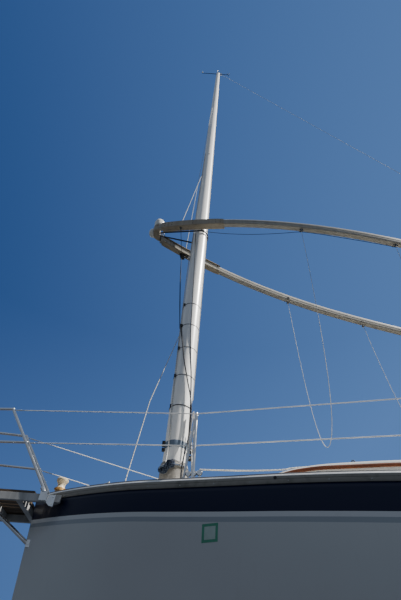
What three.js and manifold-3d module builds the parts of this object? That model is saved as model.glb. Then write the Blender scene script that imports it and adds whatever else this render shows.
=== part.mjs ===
// A nine metre sailing yacht with one free-standing mast and a wishbone boom, afloat.
// Millimetres. +X is forward, +Y is port, +Z is up. The origin is amidships on the
// centreline, at the waterline.

import * as THREE from 'three';
import { mergeVertices } from 'three/addons/utils/BufferGeometryUtils.js';
import Module from 'manifold-3d';

const wasm = await Module();
wasm.setup();

// Driving dimensions of the hull
const LENGTH = 9200;
const BOW_X = LENGTH / 2;
const HALF_BEAM = 1805;
const WIDEST_S = 5300; // distance aft of the stem
const TRANSOM_NARROWING = 430;
const SHEER_LOW = 1050;
const SHEER_SPRING = 400;
const BODY_DEPTH = 560;
const DRAFT = 1520;
const STEM_HALF = 12;
const STEM_RAKE = 150; // how far the stem leans aft from the deck down
const FOREFOOT_SWEEP = 550; // and how far its foot curves away
const SEAT_GAP = 0.3; // between pieces that touch
const PIN_GAP = 0.6; // around a turning pin

// Deck edge, measured down from the top of the toe rail
const DECK_EDGE_DROP = 25;
const HULL_TOP_DROP = 60;
const DECK_CAMBER = 55;

// Mast: it stands through the deck on the keel and leans aft
const MAST_X = 3436;
const MAST_DECK_Z = 1410;
const MAST_RAKE = 0.01374;
const MAST_STEP_Z = -200;
const MAST_SIDES = 24;
const MAST_PROFILE = [
  // height above the water, radius
  [MAST_STEP_Z, 117.5],
  [1400, 117.5],
  [6000, 114],
  [8500, 104],
  [10800, 92.5],
  [12500, 84],
  [13900, 77],
  [15400, 66],
  [16500, 57],
];

// Wishbone boom, seen from above: distance aft of its nose, along a line that slopes down aft
const NOSE_X = 4106;
const NOSE_Z = 5796;
const BOOM_RUN = 8000;
const BOOM_SLOPE = 0.2924;
const BOOM_HALF = 775;
const BOOM_WIDEST = 3600;
const ARM_DEPTH = 130;
const ARM_WIDTH = 78;

// Cabin trunk, toe rail stations and cockpit
const TRUNK_AFT_S = 6100;
const TRUNK_CAMBER = 90;
const TRUNK_WALL = 35;
const TRUNK_STATIONS = [
  // distance aft of the stem, half width, height of the roof edge
  [1780, 520, 1345],
  [1850, 640, 1410],
  [2000, 745, 1460],
  [2250, 805, 1512],
  [2520, 860, 1532],
  [2900, 930, 1545],
  [3600, 1030, 1560],
  [4500, 1100, 1580],
  [5400, 1110, 1595],
  [TRUNK_AFT_S, 1080, 1600],
];
const COCKPIT = { front: -1535, back: -4150, half: 1000, bottom: 500, seat: 980, sole: 550, rim: 1300 };
const FOOTWELL = { front: -1600, back: -3900, half: 380 };

const finishes = {
  white: { color: 0xe9e9e4, roughness: 0.35, metalness: 0 },
  cream: { color: 0xe6e0d0, roughness: 0.5, metalness: 0 },
  antifouling: { color: 0x1f3a5c, roughness: 0.8, metalness: 0 },
  teak: { color: 0x8a4f28, roughness: 0.6, metalness: 0 },
  alloy: { color: 0xb5b8ba, roughness: 0.4, metalness: 0.9 },
  steel: { color: 0xd5d7d9, roughness: 0.18, metalness: 1 },
  bronze: { color: 0x9a7434, roughness: 0.35, metalness: 1 },
  spar: { color: 0xeeeeea, roughness: 0.3, metalness: 0.1 },
  boot: { color: 0xcfc4ae, roughness: 0.9, metalness: 0 },
  rope: { color: 0x23272e, roughness: 0.9, metalness: 0 },
  glass: { color: 0x20262b, roughness: 0.08, metalness: 0 },
  engine: { color: 0x7d8890, roughness: 0.5, metalness: 0.3 },
};
const materials = Object.fromEntries(
  Object.entries(finishes).map(([name, look]) => [name, new THREE.MeshStandardMaterial(look)]),
);

// Solid helpers

const solidOf = (geometry) => {
  const bare = geometry.clone();
  bare.deleteAttribute('normal');
  bare.deleteAttribute('uv');
  const merged = mergeVertices(bare, 1e-3);
  const corners = [];
  const index = merged.index.array;
  for (let i = 0; i < index.length; i += 3) {
    const [a, b, c] = [index[i], index[i + 1], index[i + 2]];
    if (a !== b && b !== c && c !== a) corners.push(a, b, c);
  }
  const build = (list) => new wasm.Manifold(new wasm.Mesh({
    numProp: 3,
    vertProperties: new Float32Array(merged.attributes.position.array),
    triVerts: new Uint32Array(list),
  }));
  const solid = build(corners);
  if (solid.volume() > 0) return solid;
  const turned = [];
  for (let i = 0; i < corners.length; i += 3) turned.push(corners[i], corners[i + 2], corners[i + 1]);
  return build(turned);
};

const geometryOf = (solid) => {
  const mesh = solid.getMesh();
  const geometry = new THREE.BufferGeometry();
  geometry.setAttribute('position', new THREE.BufferAttribute(new Float32Array(mesh.vertProperties), 3));
  geometry.setIndex(new THREE.BufferAttribute(new Uint32Array(mesh.triVerts), 1));
  geometry.computeVertexNormals();
  return geometry;
};

const join = (...solids) => solids.reduce((whole, next) => whole.add(next));
const cut = (solid, ...tools) => tools.reduce((rest, tool) => rest.subtract(tool), solid);

// Triangles that zigzag across a ring from its first point to its far end
const acrossRing = (count) => {
  const faces = [];
  for (let [i, j] = [0, count - 1]; i + 1 < j; i += 1, j -= 1) {
    faces.push([i, i + 1, j]);
    if (i + 1 < j - 1) faces.push([i + 1, j - 1, j]);
  }
  return faces;
};

// A closed body through rings of [x, y, z] points, with both end rings filled
const loft = (rings) => {
  const count = rings[0].length;
  const points = rings.flat();
  const index = [];
  for (let r = 0; r < rings.length - 1; r += 1) {
    for (let k = 0; k < count; k += 1) {
      const [a, b] = [r * count + k, r * count + ((k + 1) % count)];
      const port = k < (count - 1) / 2; // the two sides are cut along mirrored diagonals
      if (port) index.push(a, b, b + count, a, b + count, a + count);
      else index.push(a, b, a + count, b, b + count, a + count);
    }
  }
  const fill = (ring, first, reversed) => {
    const shadow = [0, 1, 2].map((axis) => {
      const [i, j] = [(axis + 1) % 3, (axis + 2) % 3];
      return Math.abs(ring.reduce((sum, point, k) => {
        const after = ring[(k + 1) % count];
        return sum + point[i] * after[j] - after[i] * point[j];
      }, 0));
    });
    const flat = shadow.indexOf(Math.max(...shadow));
    const [i, j] = [(flat + 1) % 3, (flat + 2) % 3];
    const outline = ring.map((point) => new THREE.Vector2(point[i], point[j]));
    const turn = THREE.ShapeUtils.isClockWise(outline);
    const ears = THREE.ShapeUtils.triangulateShape(turn ? outline.slice().reverse() : outline, []);
    const inOrder = turn ? ears.map(([a, b, c]) => [count - 1 - a, count - 1 - c, count - 1 - b]) : ears;
    const mirrors = (shift) => ring.every(([, y], k) => (
      Math.abs(y + ring[(2 * count - shift - k) % count][1]) < 1e-6
    ));
    const faces = mirrors(0) || mirrors(1) ? acrossRing(count) : inOrder;
    for (const face of faces) {
      const placed = face.map((k) => first + k);
      index.push(...(reversed ? placed.reverse() : placed));
    }
  };
  fill(rings[0], 0, true);
  fill(rings[rings.length - 1], (rings.length - 1) * count, false);
  const geometry = new THREE.BufferGeometry();
  geometry.setAttribute('position', new THREE.BufferAttribute(new Float32Array(points.flat()), 3));
  geometry.setIndex(index);
  return solidOf(geometry);
};

const block = (low, high) => {
  const size = high.map((value, axis) => value - low[axis]);
  const middle = high.map((value, axis) => (value + low[axis]) / 2);
  return solidOf(new THREE.BoxGeometry(...size).translate(...middle));
};

const bar = (from, to, radius, sides = 8) => {
  const start = new THREE.Vector3(...from);
  const way = new THREE.Vector3(...to).sub(start);
  const geometry = new THREE.CylinderGeometry(radius, radius, way.length(), sides);
  geometry.applyQuaternion(new THREE.Quaternion().setFromUnitVectors(
    new THREE.Vector3(0, 1, 0),
    way.clone().normalize(),
  ));
  const middle = start.addScaledVector(way, 0.5);
  return solidOf(geometry.translate(middle.x, middle.y, middle.z));
};

const circle = (radius, sides) => {
  const corners = Array.from({ length: sides }, (_, k) => {
    const turn = (k * 2 * Math.PI) / sides;
    return new THREE.Vector2(radius * Math.cos(turn), radius * Math.sin(turn));
  });
  return new THREE.Shape(corners);
};

const bentTube = (points, radius, steps, sides = 8) => {
  const places = points.map((point) => new THREE.Vector3(...point));
  const extrudePath = new THREE.CatmullRomCurve3(places, false, 'centripetal');
  return solidOf(new THREE.ExtrudeGeometry(
    circle(radius, sides),
    { steps, extrudePath, bevelEnabled: false },
  ));
};

const mirrored = (points) => points.map(([x, y, z]) => [x, -y, z]);

// Turned shape about +Z from [radius, height] points that start and end on the axis
const turned = (profile, sides = 16) => solidOf(
  new THREE.LatheGeometry(profile.map(([r, z]) => new THREE.Vector2(r, z)), sides).rotateX(Math.PI / 2),
);
// A ring about +Z whose profile closes on itself
const ring = (profile, sides = 24) => turned([...profile, profile[0]], sides);

const yacht = new THREE.Group();
const addPiece = (name, solid, material, parent = yacht) => {
  const mesh = new THREE.Mesh(geometryOf(solid), material);
  mesh.name = name;
  parent.add(mesh);
  return mesh;
};

// Hull lines, as functions of the share of the length aft of the stem

const railTop = (u) => {
  const s = u * LENGTH;
  const forward = Math.max(0, 1 - s / 7000);
  const aft = Math.max(0, (s - 7000) / 2200);
  return SHEER_LOW + SHEER_SPRING * forward ** 1.6 + 50 * aft ** 2;
};
const halfBeam = (u) => {
  const s = u * LENGTH;
  if (s >= WIDEST_S) return HALF_BEAM - TRANSOM_NARROWING * ((s - WIDEST_S) / (LENGTH - WIDEST_S)) ** 2;
  const fuller = s < 1300 ? 54 * Math.sin((Math.PI * s) / 1300) ** 0.7 : 0;
  return Math.max(STEM_HALF, HALF_BEAM * (1 - (1 - s / WIDEST_S) ** 2.1) + fuller);
};
const bodyBottom = (u) => {
  if (u < 0.45) return -BODY_DEPTH + 260 * ((0.45 - u) / 0.45) ** 2;
  return -BODY_DEPTH + 580 * ((u - 0.45) / 0.55) ** 2.2;
};
const fullness = (u) => {
  const t = Math.min(1, u / 0.45);
  return t * t * (3 - 2 * t);
};
const deckTop = (u, y) => {
  const half = halfBeam(u);
  return railTop(u) - DECK_EDGE_DROP + DECK_CAMBER * Math.min(1, half / 1000) * (1 - (y / half) ** 2);
};

// v runs from the centreline, 0, up to the deck edge, 1
const hullPoint = (u, v, grow = 0) => {
  const top = railTop(u) - HULL_TOP_DROP;
  const bottom = bodyBottom(u);
  const t = fullness(u);
  const bend = (1 - (1 - v) ** (1.3 + 1.7 * t)) ** (1 / (1 + 1.2 * t));
  const flare = 1 - 0.3 * (1 - t) * (1 - v);
  const sweep = Math.max(0, 1 - u / 0.2) ** 1.5;
  const rake = STEM_RAKE * (1 - v) + FOREFOOT_SWEEP * (1 - v) ** 10;
  const x = BOW_X - u * LENGTH - sweep * rake;
  const y = Math.max(halfBeam(u) * bend * flare, v > 0 ? STEM_HALF : 0);
  const z = bottom + (top - bottom) * v;
  return [x + (u === 0 ? grow : 0), y + (v > 0 ? grow : 0), z - (v === 0 ? grow : 0)];
};

const HULL_STATIONS = [
  0, 0.006, 0.016, 0.03, 0.048, 0.07, 0.097, 0.13, 0.17, 0.215, 0.265,
  0.32, 0.38, 0.45, 0.52, 0.6, 0.68, 0.76, 0.84, 0.92, 1,
];
const HULL_LEVELS = Array.from({ length: 12 }, (_, k) => (k / 11) ** 1.8);

const hullRing = (u, grow = 0) => {
  const port = HULL_LEVELS.map((v) => hullPoint(u, v, grow));
  const starboard = mirrored(port.slice(1)).reverse();
  return [...port, ...starboard];
};
const hullForm = (grow = 0) => loft(HULL_STATIONS.map((u) => hullRing(u, grow)));

// Deck plate: the hull's outline, flat below and cambered above

const DECK_SHARES = [1, 0.75, 0.5, 0.25, 0];
const deckRing = (u, low, raise = 0, grow = 0) => {
  const half = halfBeam(u) + grow;
  const x = BOW_X - u * LENGTH;
  const upper = DECK_SHARES.map((share) => [x, half * share, deckTop(u, halfBeam(u) * share) + raise]);
  const port = [[x, half, low(u)], ...upper];
  return [...port, ...mirrored(port.slice(0, -1)).reverse()];
};
const belowDeck = loft(HULL_STATIONS.map((u) => deckRing(u, () => 300, SEAT_GAP, 2)));

// Cabin trunk

const trunkRing = ([s, half, edge], inset) => {
  const x = BOW_X - s;
  const wide = half - inset;
  const high = edge - inset;
  const roof = [0.92, 0.72, 0.48, 0.24, 0].map((share) => (
    [x, wide * share, high + TRUNK_CAMBER * (1 - share * share)]
  ));
  const port = [[x, wide + 28, 700], [x, wide + 2, high - 30], [x, wide - 9, high - 4], ...roof];
  return [...port, ...mirrored(port.slice(0, -1)).reverse()];
};
const trunkForm = (inset, first = 0, shift = 0) => loft(TRUNK_STATIONS.slice(first).map(([s, half, edge]) => (
  trunkRing([s === TRUNK_AFT_S ? s - shift : s, half, edge], inset)
)));
const trunkOuter = trunkForm(0);
const trunkInner = trunkForm(TRUNK_WALL, 2, TRUNK_WALL);

const roofAt = (x, y) => {
  const s = BOW_X - x;
  const next = TRUNK_STATIONS.findIndex((row) => row[0] >= s);
  const [a, b] = [TRUNK_STATIONS[next - 1], TRUNK_STATIONS[next]];
  const share = (s - a[0]) / (b[0] - a[0]);
  const half = a[1] + share * (b[1] - a[1]);
  return a[2] + share * (b[2] - a[2]) + TRUNK_CAMBER * (1 - (y / half) ** 2);
};
// Everything up to the roof's outside, for what stands on the roof
const belowRoof = trunkForm(-SEAT_GAP);

// Cabin hollow inside the hull, with settees left standing on each side of the sole
const CABIN = { front: 2450, back: -1400, sole: -300, skin: 70, settee: 120, aisle: 430 };
const cabinHollow = (() => {
  const rings = HULL_STATIONS.filter((u) => u > 0.17 && u < 0.8).map((u) => {
    const port = HULL_LEVELS.slice(2).map((v) => {
      const [x, y, z] = hullPoint(u, v);
      return [x, Math.max(60, y - CABIN.skin), z + (1 - v) * CABIN.skin];
    });
    const crown = [port[0][0], port[port.length - 1][1], 1700];
    return [...port, crown, ...mirrored([...port, crown]).reverse()];
  });
  const room = loft(rings).intersect(block([CABIN.back, -1800, CABIN.sole], [CABIN.front, 1800, 1700]));
  const settees = [1, -1].map((side) => block(
    [-900, Math.min(side * CABIN.aisle, side * 1900), -700],
    [1700, Math.max(side * CABIN.aisle, side * 1900), CABIN.settee],
  ));
  return cut(room, ...settees);
})();
const ENGINE = { back: -2000, front: -1450, half: 240, bottom: CABIN.sole + SEAT_GAP, top: 350 };
const engineBay = block(
  [ENGINE.back - 60, -ENGINE.half - 80, CABIN.sole],
  [CABIN.back + 10, ENGINE.half + 80, ENGINE.top + 80],
);

// Mast frame: a group on the mast's foot, leaning aft with it
const rig = new THREE.Group();
rig.position.set(MAST_X, 0, MAST_DECK_Z);
rig.rotation.y = -MAST_RAKE;
yacht.add(rig);
rig.updateMatrixWorld(true);
const inBoat = (solid) => solid.transform(rig.matrixWorld.elements.slice());

const mastProfile = (grow = 0) => {
  const rows = MAST_PROFILE.map(([z, r]) => [r + grow, z - MAST_DECK_Z]);
  const foot = rows[0][1] - (grow > 0 ? SEAT_GAP : 0);
  return [[0, foot], [rows[0][0], foot], ...rows.slice(1), [0, rows[rows.length - 1][1]]];
};
const mastBore = inBoat(turned(mastProfile(PIN_GAP), MAST_SIDES));

// Rudder and shaft line
const RUDDER = {
  stockX: -3950, stock: 28, stockTop: 330, top: -212, bottom: -1330, lead: 190, chord: 720, thick: 92,
};
const SHAFT = { propX: -3380, propZ: -505, slope: Math.tan((10 * Math.PI) / 180), radius: 15 };
const shaftZ = (x) => SHAFT.propZ + (x - SHAFT.propX) * SHAFT.slope;
const ROD_SIDES = 12;
// A bore of flats that clears a round rod
const boreRadius = (rod) => (rod + PIN_GAP) / Math.cos(Math.PI / ROD_SIDES);
const stockBore = bar(
  [RUDDER.stockX, 0, -600],
  [RUDDER.stockX, 0, RUDDER.stockTop],
  boreRadius(RUDDER.stock),
  ROD_SIDES,
);
const shaftFrontX = ENGINE.back - 3; // the tilted end just clears the engine
const shaftBore = bar(
  [SHAFT.propX + 300, 0, shaftZ(SHAFT.propX + 300)],
  [shaftFrontX + 20, 0, shaftZ(shaftFrontX + 20)],
  boreRadius(SHAFT.radius),
  ROD_SIDES,
);
const cockpitSpace = block(
  [COCKPIT.back - SEAT_GAP, -COCKPIT.half, COCKPIT.bottom],
  [COCKPIT.front + SEAT_GAP, COCKPIT.half, 1500],
);

addPiece('hull', cut(
  hullForm(),
  cabinHollow,
  engineBay,
  cockpitSpace,
  mastBore,
  stockBore,
  shaftBore,
), materials.white);
addPiece('engine', block(
  [ENGINE.back, -ENGINE.half, ENGINE.bottom],
  [ENGINE.front, ENGINE.half, ENGINE.top],
), materials.engine);

const aroundHull = hullForm(0.4);

// Foil section: share of the chord aft of the leading edge, share of the thickness
const FOIL = [[0, 0], [0.03, 0.42], [0.12, 0.8], [0.3, 1], [0.55, 0.82], [0.8, 0.42], [1, 0.03]];
const foilRing = (nose, chord, thick, z) => {
  const port = FOIL.map(([along, out]) => [nose - along * chord, (out * thick) / 2, z]);
  return [...port, ...mirrored(port.slice(1)).reverse()];
};

const KEEL_SECTIONS = [
  // nose x, chord, thickness, height
  [1450, 3150, 260, -300],
  [1400, 3050, 240, -700],
  [1230, 2700, 220, -1250],
  [1130, 2480, 230, -DRAFT],
];
addPiece('keel', cut(
  loft(KEEL_SECTIONS.map(([nose, chord, thick, z]) => foilRing(nose, chord, thick, z))),
  aroundHull,
), materials.antifouling);

const rudderBlade = loft([RUDDER.top, -700, RUDDER.bottom].map((z) => {
  const shrink = 1 - (0.28 * (RUDDER.top - z)) / (RUDDER.top - RUDDER.bottom);
  return foilRing(RUDDER.stockX + RUDDER.lead * shrink, RUDDER.chord * shrink, RUDDER.thick * shrink, z);
}));
const rudderStock = bar(
  [RUDDER.stockX, 0, -900],
  [RUDDER.stockX, 0, RUDDER.stockTop - SEAT_GAP],
  RUDDER.stock,
  ROD_SIDES,
);
addPiece('rudder', join(rudderBlade, rudderStock), materials.antifouling);

// Propeller and shaft, turned about the shaft line
const shaftLine = new THREE.Group();
shaftLine.position.set(SHAFT.propX, 0, SHAFT.propZ);
shaftLine.rotation.y = -Math.atan(SHAFT.slope);
yacht.add(shaftLine);
const shaftLength = (shaftFrontX - SHAFT.propX) / Math.cos(Math.atan(SHAFT.slope));
const BLADES = 3;
const BLADE_SECTIONS = [
  // radius, chord, pitch angle from the disc in degrees
  [20, 70, 62],
  [90, 105, 38],
  [160, 110, 26],
  [203, 60, 20],
];
const bladeSolid = (turn) => {
  const rings = BLADE_SECTIONS.map(([radius, chord, pitch]) => {
    const tilt = (pitch * Math.PI) / 180;
    const corners = [[-0.5, 0.2], [0, 0.9], [0.5, 0.2], [0.5, -0.2], [0, -0.5], [-0.5, -0.2]];
    return corners.map(([along, out]) => {
      const [a, b] = [along * chord, out * 9];
      return [a * Math.sin(tilt) + b * Math.cos(tilt), a * Math.cos(tilt) - b * Math.sin(tilt), radius];
    });
  });
  const spin = new THREE.Matrix4().makeRotationX(turn);
  return loft(rings).transform(spin.elements.slice());
};
const blades = Array.from({ length: BLADES }, (_, k) => bladeSolid((k * 2 * Math.PI) / BLADES));
const hub = bar([-70, 0, 0], [45, 0, 0], 36, ROD_SIDES);
const shaftRod = bar([-100, 0, 0], [shaftLength, 0, 0], SHAFT.radius, ROD_SIDES);
addPiece('propeller', join(hub, shaftRod, ...blades), materials.bronze, shaftLine);

const STRUT = { front: 130, back: 60 };
const strutBarrel = cut(
  bar([STRUT.back, 0, 0], [STRUT.front, 0, 0], 30, ROD_SIDES),
  bar([STRUT.back - 10, 0, 0], [STRUT.front + 10, 0, 0], boreRadius(SHAFT.radius), ROD_SIDES),
);
const strutLeg = block([STRUT.back + 8, -7, 22], [STRUT.front - 8, 7, 420]);
shaftLine.updateMatrixWorld(true);
const intoShaftLine = shaftLine.matrixWorld.clone().invert();
addPiece('shaft_strut', cut(
  join(strutBarrel, strutLeg),
  aroundHull.transform(intoShaftLine.elements.slice()),
), materials.bronze, shaftLine);

// Deck

const deckPlate = loft(HULL_STATIONS.map((u) => deckRing(u, (at) => railTop(at) - HULL_TOP_DROP + SEAT_GAP)));
const trunkHole = trunkForm(TRUNK_WALL + 25, 2, TRUNK_WALL + 5);
addPiece('deck', cut(deckPlate, trunkHole, cockpitSpace, mastBore), materials.cream);

// Toe rails: an alloy extrusion over the joint of hull and deck

const RAIL_SECTION = [
  // distance outboard of the hull's side, height below the rail's top
  [0.6, -72], [13, -68], [14, -20], [8, -14], [4, 0], [-6, 0], [-9, -14], [-34, -16], [-34, -21], [0.6, -24],
];
const outboard = (k) => {
  const here = (j) => {
    const u = HULL_STATIONS[Math.max(0, Math.min(HULL_STATIONS.length - 1, j))];
    return new THREE.Vector2(BOW_X - u * LENGTH, halfBeam(u));
  };
  const before = here(k).sub(here(k - 1)).normalize();
  const after = here(k + 1).sub(here(k)).normalize();
  if (k === 1) before.copy(after);
  if (k === HULL_STATIONS.length - 1) after.copy(before);
  const normal = new THREE.Vector2(before.y + after.y, -before.x - after.x).normalize();
  return normal.divideScalar(normal.dot(new THREE.Vector2(before.y, -before.x)));
};
const railRings = HULL_STATIONS.map((u, k) => {
  if (k === 0) return null;
  const normal = outboard(k);
  const [x, y] = [BOW_X - u * LENGTH, halfBeam(u)];
  return RAIL_SECTION.map(([out, down]) => (
    [x + normal.x * out, Math.max(0.2, y + normal.y * out), railTop(u) + down]
  ));
}).filter(Boolean);
const nearMiddle = block([0, -0.3, 0], [5000, 0.3, 2000]);
const toeRail = cut(loft(railRings), nearMiddle);
addPiece('toe_rail_port', toeRail, materials.alloy);
addPiece('toe_rail_starboard', toeRail.mirror([0, 1, 0]), materials.alloy);

// Cabin trunk with its windows, hatch coaming and hatch runners

const FORE_HATCH = { x: 1750, half: 280, opening: 240, coamingTop: 1668, lid: 32 };
const COMPANION = {
  back: -1520, front: -820, half: 405, way: 300, runnerTop: 1738, runnerFront: 30, plate: 26,
};
const WINDOWS = { long: 620, tall: 130, z: 1395, centres: [1150, 250, -650], corner: 45 };

const windowPrism = (centre, grow) => {
  const [w, h, r] = [WINDOWS.long / 2 + grow, WINDOWS.tall / 2 + grow, WINDOWS.corner];
  const shape = new THREE.Shape();
  shape.absarc(w - r, h - r, r, 0, Math.PI / 2);
  shape.absarc(-w + r, h - r, r, Math.PI / 2, Math.PI);
  shape.absarc(-w + r, -h + r, r, Math.PI, Math.PI * 1.5);
  shape.absarc(w - r, -h + r, r, Math.PI * 1.5, Math.PI * 2);
  const geometry = new THREE.ExtrudeGeometry(shape, { depth: 2600, bevelEnabled: false, curveSegments: 4 });
  return solidOf(geometry.rotateX(Math.PI / 2).translate(centre, 1300, WINDOWS.z));
};
const windowHoles = WINDOWS.centres.map((centre) => windowPrism(centre, 0));
const hatchCoaming = block(
  [FORE_HATCH.x - FORE_HATCH.half, -FORE_HATCH.half, 1580],
  [FORE_HATCH.x + FORE_HATCH.half, FORE_HATCH.half, FORE_HATCH.coamingTop],
);
const hatchHole = block(
  [FORE_HATCH.x - FORE_HATCH.opening, -FORE_HATCH.opening, 1300],
  [FORE_HATCH.x + FORE_HATCH.opening, FORE_HATCH.opening, 1900],
);
const runners = [1, -1].map((side) => block(
  [COMPANION.back + 25, side * 385 - 14, 1600],
  [COMPANION.runnerFront, side * 385 + 14, COMPANION.runnerTop],
));
const companionHole = join(
  block([-1600, -COMPANION.way, 1115], [-1380, COMPANION.way, 1900]),
  block([-1600, -COMPANION.way - 20, 1560], [COMPANION.front - 80, COMPANION.way + 20, 1900]),
);
addPiece('cabin_trunk', cut(
  join(...[trunkOuter, hatchCoaming, ...runners].map((one) => cut(one, trunkInner))),
  hatchHole,
  companionHole,
  belowDeck,
  ...windowHoles,
), materials.white);

const paneShell = cut(trunkForm(0), trunkForm(14)).intersect(block([-1400, -1400, 1000], [1800, 1400, 1500]));
WINDOWS.centres.forEach((centre, k) => {
  const pane = windowPrism(centre, -0.5).intersect(paneShell);
  const side = (low, high) => pane.intersect(block([-2000, low, 900], [2500, high, 1600]));
  addPiece(`window_port_${k + 1}`, side(0, 1400), materials.glass);
  addPiece(`window_starboard_${k + 1}`, side(-1400, 0), materials.glass);
});

addPiece('washboards', block(
  [-1492, -COMPANION.way + 0.6, 1115.6],
  [-1474, COMPANION.way - 0.6, COMPANION.runnerTop - 8],
), materials.teak);

const EYEBROW = [[-8, -66], [17, -62], [19, -30], [-8, -26]];
const eyebrow = cut(
  loft(TRUNK_STATIONS.slice(1).map(([s, half, edge]) => (
    EYEBROW.map(([out, down]) => [BOW_X - s, half + out, edge + down])
  ))),
  trunkForm(-0.5),
  belowDeck,
);
addPiece('eyebrow_port', eyebrow, materials.teak);
addPiece('eyebrow_starboard', eyebrow.mirror([0, 1, 0]), materials.teak);

const GRAB_RAIL = { front: 1300, back: -500, feet: 5, y: 760, high: 75 };
const GRAB_SECTION = [[-14, -26], [14, -26], [14, -6], [6, 0], [-6, 0], [-14, -6]];
const grabRail = (() => {
  const at = (share) => GRAB_RAIL.front + share * (GRAB_RAIL.back - GRAB_RAIL.front);
  const top = (x) => roofAt(x, GRAB_RAIL.y) + GRAB_RAIL.high;
  const rail = loft([0, 0.25, 0.5, 0.75, 1].map((share) => {
    const [x, z] = [at(share), top(at(share))];
    return GRAB_SECTION.map(([across, up]) => [x, GRAB_RAIL.y + across, z + up]);
  }));
  const feet = Array.from({ length: GRAB_RAIL.feet }, (_, k) => {
    const x = at(0.03 + (0.94 * k) / (GRAB_RAIL.feet - 1));
    return block([x - 45, GRAB_RAIL.y - 12, top(x) - 140], [x + 45, GRAB_RAIL.y + 12, top(x) - 15]);
  });
  return cut(join(rail, ...feet), belowRoof);
})();
addPiece('grab_rail_port', grabRail, materials.teak);
addPiece('grab_rail_starboard', grabRail.mirror([0, 1, 0]), materials.teak);

// Hatches: each is placed at its hinge or its closed place

const foreHatch = new THREE.Group();
foreHatch.position.set(FORE_HATCH.x + FORE_HATCH.half, 0, FORE_HATCH.coamingTop + SEAT_GAP);
yacht.add(foreHatch);
addPiece('fore_hatch', block(
  [-2 * FORE_HATCH.half, -FORE_HATCH.half, 0],
  [0, FORE_HATCH.half, FORE_HATCH.lid],
), materials.glass, foreHatch);

const companionHatch = new THREE.Group();
companionHatch.position.set(COMPANION.back, 0, COMPANION.runnerTop + SEAT_GAP);
yacht.add(companionHatch);
addPiece('companion_hatch', loft([0, COMPANION.front - COMPANION.back].map((x) => [
  [x, -COMPANION.half, 0],
  [x, COMPANION.half, 0],
  [x, COMPANION.half, COMPANION.plate],
  [x, 0, COMPANION.plate + 14],
  [x, -COMPANION.half, COMPANION.plate],
])), materials.teak, companionHatch);

// Cockpit tub with coamings, seats and side lockers

const LOCKER = { front: -1950, back: -3150, near: 460, far: 925, thick: 25, lip: 22, clear: 5 };
const lockerSpace = (side, grow, low, high) => block(
  [LOCKER.back - grow, Math.min(side * (LOCKER.near - grow), side * (LOCKER.far + grow)), low],
  [LOCKER.front + grow, Math.max(side * (LOCKER.near - grow), side * (LOCKER.far + grow)), high],
);
const tub = block(
  [COCKPIT.back, -COCKPIT.half + SEAT_GAP, COCKPIT.bottom + SEAT_GAP],
  [COCKPIT.front, COCKPIT.half - SEAT_GAP, COCKPIT.rim],
);
const seatRoom = block(
  [COCKPIT.back + 32, -COCKPIT.half + 32, COCKPIT.seat],
  [COCKPIT.front - 32, COCKPIT.half - 32, 1600],
);
const wayThrough = block(
  [COCKPIT.front - 100, -COMPANION.way, COCKPIT.seat + 150],
  [-1400, COMPANION.way, 1600],
);
const footRoom = block(
  [FOOTWELL.back, -FOOTWELL.half, COCKPIT.sole],
  [FOOTWELL.front, FOOTWELL.half, 1600],
);
const coamings = cut(
  block([COCKPIT.back - 110, -COCKPIT.half - 140, 900], [-1504, COCKPIT.half + 140, COCKPIT.rim]),
  block([COCKPIT.back + 10, -COCKPIT.half + 15, 800], [-1300, COCKPIT.half - 15, 1600]),
  belowDeck,
);
addPiece('cockpit', cut(
  join(tub, coamings),
  seatRoom,
  footRoom,
  wayThrough,
  ...[1, -1].map((side) => lockerSpace(side, LOCKER.clear, COCKPIT.seat - LOCKER.thick - SEAT_GAP, 1100)),
  ...[1, -1].map((side) => lockerSpace(side, -LOCKER.lip, COCKPIT.bottom + 80, 1100)),
), materials.cream);

[['port', 1], ['starboard', -1]].forEach(([name, side]) => {
  const hinge = new THREE.Group();
  hinge.position.set(0, side * LOCKER.far, COCKPIT.seat);
  yacht.add(hinge);
  const wide = LOCKER.far - LOCKER.near;
  addPiece(`locker_lid_${name}`, block(
    [LOCKER.back, Math.min(0, -side * wide), -LOCKER.thick],
    [LOCKER.front, Math.max(0, -side * wide), 0],
  ), materials.cream, hinge);
});

// Steering pedestal and wheel

const WHEEL = { x: -3440, z: 1450, radius: 400, tube: 14, spokes: 6, pedestalX: -3300 };
addPiece('pedestal', turned([
  [0, COCKPIT.sole + SEAT_GAP],
  [125, COCKPIT.sole + SEAT_GAP],
  [122, COCKPIT.sole + 25],
  [80, COCKPIT.sole + 90],
  [70, 1380],
  [95, 1430],
  [95, 1560],
  [60, 1640],
  [0, 1655],
], 16).translate([WHEEL.pedestalX, 0, 0]), materials.white);

const helm = new THREE.Group();
helm.position.set(WHEEL.x, 0, WHEEL.z);
yacht.add(helm);
const rimProfile = Array.from({ length: 6 }, (_, k) => {
  const turn = (k * Math.PI) / 3;
  return [WHEEL.radius + WHEEL.tube * Math.cos(turn), WHEEL.tube * Math.sin(turn)];
});
const wheelRim = ring(rimProfile, 24).rotate([0, 90, 0]);
const wheelSpokes = Array.from({ length: WHEEL.spokes }, (_, k) => {
  const turn = (k * 2 * Math.PI) / WHEEL.spokes;
  return bar([0, 0, 0], [0, WHEEL.radius * Math.cos(turn), WHEEL.radius * Math.sin(turn)], 8, 6);
});
const pedestalBack = WHEEL.pedestalX - 95;
const wheelHub = bar([-28, 0, 0], [pedestalBack - WHEEL.x - SEAT_GAP, 0, 0], 34, 12);
addPiece('steering_wheel', join(wheelRim, wheelHub, ...wheelSpokes), materials.steel, helm);

// Bow platform with its strut, rails, roller and windlass

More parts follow.
